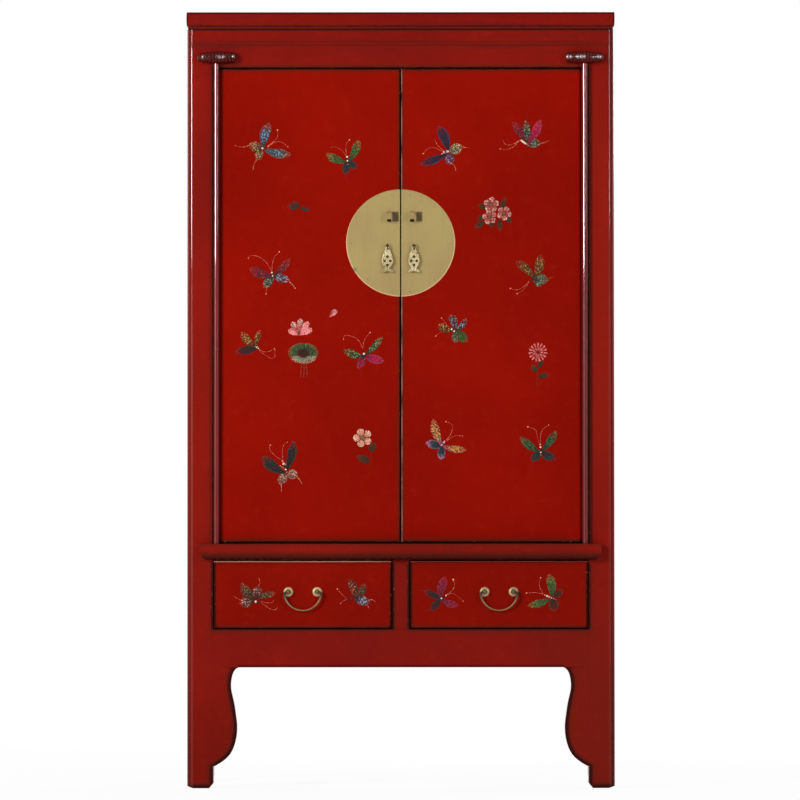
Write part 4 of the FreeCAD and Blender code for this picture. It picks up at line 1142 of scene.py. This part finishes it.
# Painted butterflies and flowers, each placed by the photo's pixels
motifs = {
    "thick": 0.9 * mm,
    "proud": 0.22 * mm,
    "level": 0.1 * mm,
    "dome": 0.3 * mm,
    "lineRadius": 0.8 * mm,
    "dotHeight": 0.35 * mm,
    "dotSink": 0.1 * mm,
    "flatten": 0.4,
    "taper": 0.45,
    "bodyDots": 6,
    "broken": 0.75,
    # columns and rows of its mesh; then share of the length, half widths towards the head and away from it
    "shapes": {
        "fore": (16, 8, ((0, 0.08, 0.10), (0.15, 0.12, 0.30), (0.35, 0.22, 0.52), (0.55, 0.32, 0.60),
                         (0.75, 0.33, 0.52), (0.9, 0.21, 0.32), (1, 0.04, 0.05))),
        "hind": (12, 8, ((0, 0.12, 0.12), (0.15, 0.34, 0.36), (0.35, 0.46, 0.50), (0.6, 0.50, 0.50),
                         (0.8, 0.42, 0.38), (0.93, 0.24, 0.20), (1, 0.07, 0.07))),
        "leaf": (10, 4, ((0, 0.04, 0.04), (0.2, 0.40, 0.34), (0.45, 0.52, 0.48), (0.7, 0.38, 0.36),
                         (1, 0.02, 0.02))),
        "petal": (8, 6, ((0, 0.08, 0.08), (0.25, 0.26, 0.26), (0.6, 0.48, 0.48), (0.85, 0.44, 0.44),
                         (1, 0.14, 0.14))),
        "ray": (5, 2, ((0, 0.16, 0.16), (0.5, 0.34, 0.34), (0.85, 0.5, 0.5), (1, 0.12, 0.12))),
    },
}
# root, middle, tip, veins, rim, share of speckles, share worn to the ground
palettes = {
    "blueOchre": ((35, 58, 81), (90, 139, 174), (144, 114, 53), (14, 16, 24), (216, 188, 118), 0.8, 0.38),
    "blueOlive": ((42, 72, 94), (94, 134, 149), (122, 112, 59), (14, 18, 22), (218, 192, 130), 0.75, 0.34),
    "creamOchre": ((138, 101, 60), (179, 143, 96), (187, 148, 98), (44, 26, 14), (240, 206, 152), 0.8, 0.36),
    "green": ((22, 52, 48), (56, 112, 52), (140, 132, 56), (10, 30, 22), (160, 160, 80), 0.55, 0.36),
    "meadow": ((44, 70, 52), (98, 150, 90), (156, 142, 76), (12, 22, 14), (206, 190, 130), 0.9, 0.32),
    "forest": ((18, 52, 46), (42, 98, 58), (78, 108, 50), (8, 20, 16), (116, 146, 90), 0.75, 0.2),
    "olive": ((60, 50, 32), (98, 90, 50), (126, 90, 52), (14, 14, 8), (172, 152, 104), 0.85, 0.35),
    "tealDark": ((12, 24, 28), (22, 48, 48), (40, 36, 32), (4, 10, 12), (80, 84, 76), 0.4, 0.2),
    "teal": ((8, 16, 18), (14, 36, 36), (40, 34, 20), (4, 10, 12), (80, 110, 96), 0.6, 0.2),
    "greyGreen": ((56, 74, 66), (104, 138, 116), (138, 134, 106), (14, 22, 18), (208, 178, 132), 0.9, 0.28),
    "leafGreen": ((35, 55, 35), (55, 99, 44), (70, 99, 42), (24, 40, 18), (100, 120, 60), 0.6, 0.3),
    "seaGreen": ((60, 72, 58), (96, 132, 102), (122, 118, 84), (24, 36, 28), (150, 160, 120), 0.7, 0.3),
    "navy": ((26, 24, 34), (28, 32, 52), (46, 22, 34), (6, 8, 18), (80, 90, 130), 0.35, 0.2),
    "lilac": ((94, 72, 112), (154, 124, 160), (180, 140, 152), (26, 14, 36), (232, 188, 182), 0.9, 0.3),
    "creamOlive": ((150, 130, 90), (212, 190, 142), (226, 184, 144), (36, 28, 18), (242, 212, 168), 0.8, 0.33),
    "crimson": ((92, 15, 42), (158, 29, 64), (171, 42, 74), (56, 8, 28), (222, 108, 128), 0.55, 0.4),
    "magenta": ((104, 18, 54), (176, 24, 66), (188, 48, 82), (64, 8, 34), (224, 108, 128), 0.45, 0.15),
    "mauve": ((80, 34, 70), (160, 44, 62), (184, 40, 46), (32, 12, 34), (214, 108, 110), 0.7, 0.5),
    "plumOrange": ((84, 34, 50), (156, 46, 44), (188, 52, 36), (32, 12, 24), (202, 112, 96), 0.7, 0.45),
    "greyBlue": ((82, 78, 100), (152, 148, 168), (168, 148, 148), (20, 18, 28), (224, 192, 188), 0.9, 0.2),
    "ochre": ((90, 72, 34), (176, 124, 49), (189, 113, 59), (24, 18, 10), (238, 186, 124), 0.85, 0.42),
    "ochreGreen": ((67, 76, 43), (166, 124, 58), (185, 99, 49), (22, 20, 12), (234, 180, 124), 0.85, 0.42),
    "orange": ((147, 107, 144), (215, 151, 77), (223, 147, 99), (110, 50, 34), (250, 210, 168), 0.6, 0.38),
    "tealLilac": ((14, 28, 36), (20, 60, 68), (196, 144, 184), (6, 12, 16), (200, 156, 190), 0.45, 0.15),
    "creamPink": ((160, 100, 80), (222, 164, 134), (230, 172, 142), (44, 24, 20), (248, 206, 180), 0.8, 0.32),
    "palePink": ((112, 82, 70), (170, 132, 118), (180, 134, 122), (40, 24, 24), (250, 222, 212), 0.95, 0.45),
    "slate": ((34, 26, 32), (48, 28, 26), (66, 20, 16), (10, 8, 14), (80, 60, 80), 0.3, 0.2),
    "rose": ((80, 48, 32), (170, 80, 56), (186, 88, 64), (24, 16, 10), (228, 152, 122), 0.95, 0.15),
    "smoke": ((40, 28, 18), (60, 30, 14), (80, 24, 12), (12, 10, 8), (120, 90, 70), 0.3, 0.3),
    "skyWhite": ((72, 86, 99), (136, 152, 163), (147, 144, 134), (20, 30, 40), (226, 226, 212), 0.9, 0.45),
    "blossom": ((110, 24, 24), (214, 104, 94), (250, 210, 192), (80, 20, 18), (254, 232, 220), 0.6, 0.14),
    "plum": ((110, 40, 30), (232, 158, 126), (252, 212, 184), (90, 34, 26), (252, 224, 204), 0.4, 0.05),
    "aster": ((150, 34, 40), (222, 104, 100), (240, 150, 140), (130, 26, 28), (244, 168, 156), 0.2, 0.2),
    "lotus": ((206, 84, 88), (238, 140, 138), (240, 150, 146), (200, 80, 84), (246, 180, 170), 0.2, 0.08),
    "oliveLeaf": ((46, 36, 18), (58, 44, 20), (78, 40, 20), (30, 22, 10), (80, 54, 26), 0.3, 0.3),
    "greenLeaf": ((26, 44, 22), (40, 60, 28), (56, 54, 26), (18, 26, 12), (64, 62, 34), 0.3, 0.3),
    "greyLeaf": ((46, 36, 28), (50, 42, 36), (80, 34, 34), (30, 22, 18), (78, 44, 38), 0.2, 0.3),
    "lotusLeaf": ((26, 34, 24), (36, 86, 50), (92, 112, 58), (12, 30, 20), (150, 144, 90), 0.6, 0.2),
    "lotusLip": ((110, 118, 96), (140, 140, 116), (196, 156, 120), (70, 80, 60), (206, 160, 124), 0.3, 0.25),
    "lotusHeart": ((40, 20, 12), (40, 24, 16), (50, 30, 18), (30, 14, 8), (60, 36, 24), 0.1, 0.05),
}
lineColours = {
    "pink": (240, 138, 112), "cream": (232, 172, 138), "peach": (224, 150, 100), "dark": (40, 18, 16),
    "wine": (96, 12, 26), "light": (232, 212, 182), "slate": (40, 32, 44), "stem": (52, 34, 22),
    "olive": (120, 104, 46), "reed": (96, 92, 78), "lilac": (206, 160, 200)
}


def widthsAt(rows, at):  # half widths between the rows of a shape
    for (low, *first), (high, *second) in zip(rows, rows[1:]):
        if at <= high:
            part = (at - low) / (high - low)
            part = part * part * (3 - 2 * part) * 0.5 + part * 0.5
            return mixed(first, second, part)
    return rows[-1][1:]


def mixed(first, second, part):
    return tuple(a + (b - a) * part for a, b in zip(first, second))


def painted(piece, finish, paints, rim, vein, speckle, bare=0.0):  # paints: a colour, or one for each point
    for name, values in (("paint", paints), ("rim", rim), ("vein", vein)):
        marked(piece, name, "FLOAT_COLOR", values)
    for name, value in (("speckle", speckle), ("bare", bare)):
        marked(piece, name, "FLOAT", value)
    return coated(piece, finish)


def patch(shape, root, tip, width, palette, level=0, towards=None):  # a wing, petal or leaf
    start, end = onFront(*root), onFront(*tip)
    axis = end - start
    across = Vector((-axis.y, axis.x)).normalized() * width * studio["photoPixel"]
    if towards is not None and across.dot(towards) < 0:
        across = -across
    columns, rows, outline = motifs["shapes"][shape]
    piece = added(bpy.ops.mesh.primitive_grid_add, x_subdivisions=columns, y_subdivisions=rows, size=1,
                  calc_uvs=True)
    front = frontFace - motifs["proud"] - level * motifs["level"]
    *colours, speckle, bare = palettes[palette]
    inner, middle, outer, vein, rim = (fromScreen(colour) for colour in colours)
    paints = []
    for vertex in piece.data.vertices:
        u, v = vertex.co.x + 0.5, vertex.co.y + 0.5
        ahead, behind = widthsAt(outline, u)
        flat = start + axis * u + across * (2 * v - 1) * (ahead if v > 0.5 else behind)
        dome = motifs["dome"] * (1 - (2 * v - 1) ** 2) * min(1, 5 * u * (1 - u))
        vertex.co = (flat.x, front - dome, flat.y)
        tips = mixed(middle, outer, max(0, (u - 0.55) / 0.45))
        paints.append(mixed(inner, middle, u / 0.4) if u < 0.4 else tips)
    painted(piece, "motifPaint", paints, rim, vein, speckle, bare)
    with editing(piece, outward=True):
        bpy.ops.mesh.extrude_region_move(TRANSFORM_OT_translate={"value": (0, motifs["thick"], 0)})
        bpy.ops.mesh.select_all(action="SELECT")
        bpy.ops.mesh.remove_doubles(threshold=0.001 * mm)
    return piece


def plainPaint(piece, colour, broken=0.0):
    tone = fromScreen(lineColours[colour])
    return painted(piece, "linePaint", tone, tone, tone, broken)


def blob(colour, point, size, level=2):  # a dot of paint, its size in photo pixels
    place = onFront(*point)
    radius = size * studio["photoPixel"] / 2
    height = motifs["dotHeight"] + level * motifs["level"]
    dot = bead((place.x, frontFace - motifs["dotSink"], place.y), (radius, height, radius), 1)
    return plainPaint(dot, colour)


def stroke(colour, thickness, dot, *points):  # an antenna, a tail or a stem
    places = [onFront(*point) for point in points]
    radii = [1 - (1 - motifs["taper"]) * index / (len(points) - 1) for index in range(len(points))]
    path = [(place.x, frontFace, place.y) for place in places]
    line = wire(path, motifs["lineRadius"] * thickness, 1, radii)
    for vertex in line.data.vertices:
        vertex.co.y = frontFace + (vertex.co.y - frontFace) * motifs["flatten"]
    pieces = [plainPaint(line, colour, motifs["broken"])]
    return pieces + [blob(colour, points[-1], dot)] if dot else pieces


def bodyOfDots(head, tail, colours, size):  # thickest near the head
    start, end = Vector(head), Vector(tail)
    dots = []
    for index in range(motifs["bodyDots"]):
        part = index / (motifs["bodyDots"] - 1)
        thick = size * (0.75 + 0.5 * math.sin(math.pi * min(1, part * 1.3)) - 0.35 * part)
        dots.append(blob(colours[index % len(colours)], start.lerp(end, part), thick, 7))
    return dots


def motif(name, rider, pieces):
    finished(smoothed(merged(*pieces), 30), name, rider, "red_lacquer")


butterflies = (
    # name, body it rides on, head, tail, body colours and size, wings (as patch takes them),
    # strokes: colour, thickness, size of the dot at the end, points
    ("butterflyBlue", "left_door", (264, 147.5), (256.5, 151.5), ("dark", "light", "dark"), 2.6, (
        ("hind", (261.5, 148.5), (249, 144.8), 10, "creamOchre"),
        ("hind", (262, 150), (256.3, 159.8), 8, "creamOchre"),
        ("fore", (263.3, 148), (269.4, 122.4), 11.5, "blueOchre"),
        ("fore", (263.8, 149.2), (291, 154.6), 10.5, "blueOlive")), (
        ("peach", 0.9, 0, (250, 145), (244, 147), (234, 145.5)),
        ("peach", 1.1, 0, (257.5, 159), (254.5, 163.5), (252.8, 171)),
        ("pink", 0.9, 1.6, (267, 147), (274, 141), (277.7, 136.5), (277.6, 130)),
        ("pink", 0.9, 1.2, (268, 147), (275.5, 142), (282, 142.5), (288, 146.8)))),
    ("butterflyGreen", "left_door", (347, 155), (348, 164.5), ("dark", "light"), 2.2, (
        ("hind", (347.5, 162), (345, 174.5), 8, "tealDark"),
        ("hind", (348.5, 161), (357, 168.5), 7, "tealDark"),
        ("fore", (347, 162.5), (325.6, 153.6), 9.5, "green"),
        ("fore", (348.6, 161), (359.3, 139.6), 9.5, "green")), (
        ("wine", 1.2, 0, (346, 173), (346.5, 179), (347.8, 184)),
        ("pink", 0.6, 0, (346.5, 155.5), (340.5, 149.5), (335.5, 147), (329.5, 147.4)),
        ("pink", 0.8, 1.5, (347, 155), (346, 149), (346.5, 144), (349.6, 139.8)))),
    ("butterflyMauve", "left_door", (271.6, 271), (273.4, 279), ("dark", "light"), 2.0, (
        ("hind", (272.5, 276.5), (264, 287.8), 8.5, "greyGreen"),
        ("hind", (273.8, 275.5), (289.6, 281), 8.5, "greyBlue"),
        ("fore", (272, 276), (249.5, 268), 11, "mauve"),
        ("fore", (273.6, 274.8), (290.6, 258.6), 9, "plumOrange")), (
        ("cream", 0.9, 1.2, (288.5, 281), (292.5, 284.5), (295.3, 288.2)),
        ("cream", 0.9, 1.2, (267, 286), (266.5, 290), (266.1, 294)),
        ("pink", 0.8, 1.0, (271.4, 270.6), (266, 262), (258.4, 256.7), (250, 256), (248.6, 258.2)),
        ("pink", 0.8, 1.6, (271.8, 270.4), (273, 262), (275, 256.5), (279.3, 251.9)))),
    ("butterflyOchre", "left_door", (258.5, 348.2), (254.6, 346), ("light", "dark"), 2.2, (
        ("hind", (257, 348.5), (235.5, 351.8), 8.5, "slate"),
        ("fore", (255.8, 347), (241, 331.6), 9.5, "ochre"),
        ("fore", (256.2, 347), (260.4, 329.8), 6.5, "ochre")), (
        ("pink", 0.8, 1.0, (259.4, 350.5), (266, 355.2), (273.2, 358.4), (275.2, 350)),
        ("pink", 0.6, 1.2, (259.4, 349.6), (266.5, 352), (274.6, 348.7)))),
    ("butterflyMeadow", "left_door", (363.6, 350.2), (364.8, 359), ("dark", "dark", "light"), 2.2, (
        ("hind", (364, 357), (358, 368.6), 8, "crimson"),
        ("hind", (366, 356.5), (384, 361.8), 8.5, "magenta"),
        ("fore", (364.2, 356.2), (343.6, 350), 9, "meadow"),
        ("fore", (365.2, 354.8), (382.6, 336.4), 7.5, "meadow")), (
        ("wine", 0.9, 0, (359, 367), (361.5, 374), (361.5, 382)),
        ("pink", 0.8, 1.3, (362.5, 348), (358.2, 340), (350, 335.8), (344.4, 336), (343.6, 339)),
        ("pink", 0.8, 1.5, (363, 348.5), (364.2, 341), (367, 336), (370.4, 332.6)))),
    ("butterflyTeal", "left_door", (282.6, 461), (288, 475), ("pink", "light", "dark", "light"), 2.6, (
        ("hind", (285, 472.5), (280.4, 484.5), 9, "creamPink"),
        ("hind", (287, 473.5), (298.2, 474.8), 10, "creamPink"),
        ("fore", (284.5, 473), (262.2, 456.6), 12.5, "teal"),
        ("fore", (286, 470), (294.2, 441), 10.5, "teal")), (
        ("cream", 1.3, 0, (280.8, 482), (281.5, 487), (281.3, 492)),
        ("cream", 1.6, 0, (296.5, 476.5), (300, 480), (302, 484.2)),
        ("light", 1.3, 0, (284.3, 468.5), (282.2, 467), (279.5, 465)),
        ("light", 1.3, 0, (285.3, 468), (285.8, 465), (286.4, 462.5)),
        ("pink", 0.8, 1.5, (281.4, 460), (274.5, 455), (269.6, 448.5), (270.4, 445)),
        ("pink", 0.8, 1.0, (282.8, 459.5), (282.4, 451), (284, 445), (287.4, 442.2)))),
    ("butterflyNavy", "right_door", (444, 151.8), (451, 151), ("light", "dark", "lilac"), 2.6, (
        ("hind", (449.5, 151.5), (462.6, 146), 10.5, "creamOlive"),
        ("hind", (448.5, 153), (450.8, 165), 9.5, "lilac"),
        ("fore", (448.2, 150.6), (438.4, 126), 11.5, "navy"),
        ("fore", (447, 153.4), (420.6, 164.2), 9, "navy")), (
        ("peach", 1.0, 0, (462.2, 146.4), (465, 147.5), (469, 147.6)),
        ("peach", 1.1, 0, (452, 163.5), (454.6, 166), (456, 170.4)),
        ("light", 1.5, 0, (446.5, 152.8), (443.5, 153), (441, 154.6)),
        ("pink", 0.8, 0, (443.3, 150.5), (438, 145.5), (434.2, 138.6)),
        ("pink", 0.8, 1.6, (442.5, 151.5), (434.5, 147.8), (428, 148.6), (423.4, 153.6)))),
    ("butterflyRose", "right_door", (521.3, 140.3), (528.5, 145.4), ("light", "light", "cream"), 2.4, (
        ("hind", (526.6, 143.2), (541, 143.4), 9, "greyGreen"),
        ("fore", (526, 143), (530, 144), 5, "crimson"),
        ("fore", (525.2, 142.6), (512.4, 121.6), 9.5, "mauve"),
        ("fore", (528.4, 142.8), (540.8, 119.8), 9.5, "magenta"),
        ("fore", (526.4, 142.6), (525.8, 120), 8, "greyGreen")), (
        ("peach", 1.0, 0, (540, 143.2), (544.5, 142.6), (549.6, 140)),
        ("wine", 0.8, 0, (526, 121.5), (527.6, 117), (525.2, 111.6)),
        ("pink", 0.8, 0, (520, 140), (513.5, 143.8), (506, 144.6), (503.1, 140.8)),
        ("pink", 0.8, 1.2, (519.8, 140.6), (513, 147), (506.5, 149.6), (500.3, 148.9)))),
    ("butterflyAmber", "right_door", (530.2, 281), (534.8, 277), ("dark", "wine"), 2.2, (
        ("hind", (534.6, 277.8), (548.6, 280.4), 10, "seaGreen"),
        ("hind", (534, 278), (541.5, 286.5), 7, "greyGreen"),
        ("fore", (534.4, 278.2), (515.8, 261), 9.5, "ochreGreen"),
        ("fore", (534.8, 278), (541, 254.4), 10.5, "ochreGreen")), (
        ("olive", 0.9, 0, (547.5, 279.5), (551, 277.5), (553.5, 277)),
        ("pink", 0.8, 1.5, (529, 281.4), (522.5, 287.4), (516.5, 290), (510.5, 288.4)),
        ("pink", 0.8, 1.5, (529.2, 282), (525, 288), (521, 291.6), (517.3, 293.6)))),
    ("butterflyPale", "right_door", (450.4, 328.4), (456.6, 333), ("dark", "light"), 2.4, (
        ("hind", (455.2, 331.6), (468, 341.4), 10, "leafGreen"),
        ("hind", (454.2, 332), (456.4, 343), 7, "seaGreen"),
        ("fore", (453.6, 330.6), (437.4, 324.4), 9.5, "ochre"),
        ("fore", (455, 330), (450.4, 313.8), 9, "skyWhite"),
        ("fore", (456, 330.6), (466.8, 318.6), 7, "skyWhite")), (
        ("pink", 0.8, 1.3, (449.8, 328), (445, 322), (441.5, 318)),
        ("pink", 0.8, 1.3, (449.4, 328.6), (441.5, 331.5), (436, 336)))),
    ("butterflyOrange", "right_door", (444.6, 441.6), (440.6, 446.6), ("lilac", "lilac", "dark"), 2.4, (
        ("hind", (441, 446), (425.8, 442.8), 8.5, "tealLilac"),
        ("hind", (442, 446.8), (441, 459.6), 8, "tealLilac"),
        ("fore", (441.8, 445.6), (433.2, 419), 10, "orange"),
        ("fore", (443.2, 446.2), (466.6, 449.8), 8, "orange")), (
        ("wine", 0.8, 0, (441, 458), (440.4, 462), (441.4, 465.6)),
        ("pink", 0.8, 1.6, (446, 440.6), (451.4, 432.5), (451.8, 424.5), (446, 421.6)),
        ("pink", 0.7, 1.0, (446.6, 441), (453, 436.6), (458, 435.6), (462.6, 436)))),
    ("butterflyForest", "right_door", (540.4, 444.4), (541.2, 457.6), ("light", "light", "dark"), 2.0, (
        ("hind", (540.2, 452.6), (531.4, 461), 8.5, "tealDark"),
        ("hind", (541.8, 452.4), (555.2, 459.4), 9, "tealDark"),
        ("fore", (540, 452), (520.2, 437), 9, "forest"),
        ("fore", (541.6, 451), (556.6, 430.6), 8.5, "forest")), (
        ("wine", 1.4, 0, (532.4, 459.5), (531.6, 464), (532, 469)),
        ("wine", 1.2, 0, (553.5, 458.6), (556.5, 461), (558.6, 463.6)),
        ("light", 1.2, 0, (543.3, 449), (544, 446.5), (544.8, 444.6)),
        ("pink", 0.8, 1.7, (539.4, 443.4), (537.4, 436.5), (535.6, 430), (528, 426.8)),
        ("pink", 0.8, 1.3, (540.8, 443.4), (540.6, 436.5), (543, 429.5), (548.8, 425)))),
    ("butterflyOlive", "left_drawer", (260, 601.6), (249.5, 601.6), ("dark", "dark", "light"), 2.2, (
        ("hind", (253, 600.8), (240, 603.4), 11, "palePink"),
        ("hind", (255.4, 597.6), (258.6, 585.6), 9.5, "palePink"),
        ("fore", (255, 600), (241.4, 583.4), 10.5, "olive"),
        ("fore", (256.5, 599), (276, 593.2), 7.5, "olive")), (
        ("pink", 0.8, 0, (242.5, 601), (238.5, 599), (234.2, 596.4)),
        ("peach", 0.8, 0, (258.4, 586.5), (260, 582.5), (258.8, 577.4)),
        ("pink", 0.9, 0, (261.2, 601.6), (267.5, 602.8), (272.4, 602.4), (274, 599.6)),
        ("pink", 0.9, 0, (261, 603), (266, 606), (271, 609.2), (276, 609.4), (278, 607)))),
    ("butterflySilver", "left_drawer", (347.4, 598.6), (356.6, 598.4), ("wine", "dark"), 2.4, (
        ("hind", (354.6, 599.4), (370, 601.8), 9.5, "greyBlue"),
        ("fore", (355.6, 598.6), (349.4, 579.2), 10, "rose"),
        ("fore", (357, 598.4), (364.8, 583.4), 8.5, "olive")), (
        ("cream", 1.0, 0, (368.6, 600), (372.8, 599.8), (376, 602.2)),
        ("cream", 0.8, 0, (365.6, 603.4), (367.4, 605.4), (369, 608)),
        ("pink", 0.8, 1.4, (347, 598.8), (342.4, 594.8), (337.4, 589)),
        ("pink", 0.7, 1.0, (346.8, 599.4), (343.4, 600.8), (340.6, 603.6)))),
    ("butterflyCrimson", "right_drawer", (446, 595.6), (438.6, 600), ("light", "dark", "dark"), 2.2, (
        ("hind", (440, 598), (424.2, 590.8), 7, "slate"),
        ("hind", (440.4, 600), (430.4, 610.4), 7.5, "slate"),
        ("fore", (440.6, 598.4), (445.6, 576.4), 10.5, "crimson"),
        ("fore", (440.6, 599.4), (459, 605.8), 8.5, "crimson")), (
        ("slate", 0.8, 0, (425.5, 591.2), (422, 590.4), (418, 590.4)),
        ("slate", 0.8, 0, (431, 609.6), (427, 610.6), (422.4, 611.6)),
        ("cream", 0.8, 1.8, (446.4, 595), (451.6, 591), (454.6, 585.5), (453.4, 579.6)),
        ("pink", 0.7, 1.2, (447, 595), (452.5, 593.4), (458, 596.5), (463.2, 601.2)),
        ("cream", 0.7, 0, (431.4, 591.5), (434.5, 592.4), (437.2, 595.4)))),
    ("butterflyGrove", "right_drawer", (545, 595), (556, 599.6), ("pink", "light", "pink"), 2.2, (
        ("hind", (552.6, 598.6), (555, 611.4), 10, "smoke"), ("hind", (554.4, 597), (563, 590), 7, "smoke"),
        ("fore", (551.8, 597.4), (549, 573.8), 10.5, "green"),
        ("fore", (551, 598.4), (527.6, 605.8), 8.5, "green")), (
        ("pink", 0.8, 1.5, (543.4, 593.6), (540, 587.5), (539.6, 582), (540.7, 577.6)),
        ("pink", 0.8, 1.6, (543.2, 594), (535, 592.6), (526.6, 593)))),
)
for name, rider, head, tail, colours, size, wings, strokes in butterflies:
    ahead = onFront(*head) - onFront(*tail)
    pieces = [patch(*wing, level, ahead) for level, wing in enumerate(wings)]
    for line in strokes:
        pieces += stroke(*line)
    motif(name, rider, pieces + bodyOfDots(head, tail, colours, size))
print("butterflies ready")


def ringOf(centre, shape, count, reach, width, palette, start=0.0, inner=0.0, squeeze=1.0, level=0):
    petals = []
    for index in range(count):
        turn = math.radians(start) + 2 * math.pi * index / count
        way = Vector((math.sin(turn), -math.cos(turn) * squeeze))
        root, tip = (Vector(centre) + way * away for away in (inner, reach))
        petals.append(patch(shape, root, tip, width, palette, level + index % 2 * 0.5))
    return petals


def fivePetals(centre, radius, palette, turn, level=2):
    pieces = ringOf(centre, "petal", 5, radius, radius * 0.8, palette, turn, radius * 0.12, level=level)
    pieces.append(blob("olive", centre, radius * 0.34, level + 6))
    for index in range(5):
        angle = math.radians(turn + 36 + 72 * index)
        spot = Vector(centre) + Vector((math.sin(angle), -math.cos(angle))) * radius * 0.3
        pieces.append(blob("wine", spot, radius * 0.16, level + 6))
    return pieces


def leaves(palette, *places):
    return [patch("leaf", root, tip, width, palette) for root, tip, width in places]


def lotusLip():
    ways = [(math.sin(math.radians(angle)), math.cos(math.radians(angle))) for angle in range(112, 250, 15)]
    return [patch("ray", (303.5 + 4 * x, 356 - 2 * y), (303.5 + 14 * x, 355 - 8.6 * y), 4.6, "lotusLip", 3)
            for x, y in ways]


motif("plumBlossom", "left_door", (
    *leaves("oliveLeaf", ((371, 452), (376, 442.5), 7), ((371, 451.5), (372, 443), 6),
            ((370, 461), (356, 456), 8)),
    *stroke("stem", 1.3, 0, (371.4, 447), (371, 456), (369.8, 467)),
    *fivePetals((362.8, 437.8), 9.4, "plum", -20)))
motif("smallSprig", "left_door", leaves(
    "greyLeaf", ((299, 207.5), (287, 206), 6.5), ((299, 208), (293, 200.5), 5.5),
    ((300, 208), (311, 210.5), 5)))
motif("lotusLeaf", "left_door", (
    *stroke("reed", 0.9, 0, (302, 362), (301.2, 370), (300.8, 377.4)),
    *stroke("reed", 0.9, 0, (304, 362), (304.2, 371), (303.8, 377.8)),
    *stroke("reed", 0.9, 0, (306, 362), (307, 370), (307.2, 377)),
    *ringOf((303.5, 352.6), "ray", 30, 15.2, 4.2, "lotusLeaf", 0, 2, 0.66),
    *lotusLip(),
    *ringOf((303.5, 353), "ray", 12, 6.4, 3.2, "lotusHeart", 0, 0.4, 0.7, 5)))
motif("lotusBud", "left_door", (
    patch("petal", (329.6, 317), (337, 310.6), 4.6, "lotus", 1),
    patch("petal", (329.4, 316.4), (335, 309.4), 3.2, "blossom", 2),
    *stroke("wine", 0.8, 0, (329.8, 317), (326.6, 320), (325, 324))))
motif("lotusFlower", "left_door", (
    *(patch("petal", (299.6, 335), tip, 6.4, palette, level) for level, (tip, palette) in enumerate((
        ((288.6, 330), "lotus"), ((312, 329), "lotus"), ((292, 322), "blossom"), ((308.6, 321.6), "lotus"),
        ((300.6, 318.6), "blossom")))),
    blob("olive", (300, 331), 2.2, 8)))
motif("blossomSpray", "right_door", (
    *leaves("oliveLeaf", ((488, 208), (477, 205), 6), ((486, 216), (476.4, 219), 6),
            ((484, 222), (474, 227.4), 6.5), ((499, 219), (500.6, 231), 6), ((507, 217), (511.4, 223.6), 6),
            ((501, 209), (506.4, 197.6), 6), ((493, 219), (491, 228.6), 6)),
    *leaves("greenLeaf", ((484, 221), (476.6, 228.6), 4)),
    *fivePetals((491.4, 204.6), 7.6, "blossom", 5),
    *fivePetals((504.2, 213.4), 7.2, "blossom", 30, 3),
    *fivePetals((489.6, 217.2), 7.2, "blossom", -12, 4)))
motif("aster", "right_door", (
    *stroke("stem", 1.3, 0, (537.6, 360), (537.9, 372), (536.9, 388)),
    *leaves("greenLeaf", ((537.4, 371.4), (531, 365), 6.4)),
    *leaves("oliveLeaf", ((538, 367.6), (544, 359.6), 5.4), ((537.8, 377), (550, 375), 6.4)),
    *ringOf((538, 352.2), "ray", 15, 9.6, 2.3, "aster", 0, 4.2, level=1),
    *ringOf((538, 352.2), "ray", 9, 5.2, 2.1, "aster", 12, 1.4, level=4),
    blob("wine", (538, 352.2), 1.8, 8), blob("wine", (537, 351.6), 1.2, 10),
    blob("wine", (539.2, 353), 1.2, 10)))
print("flowers ready")
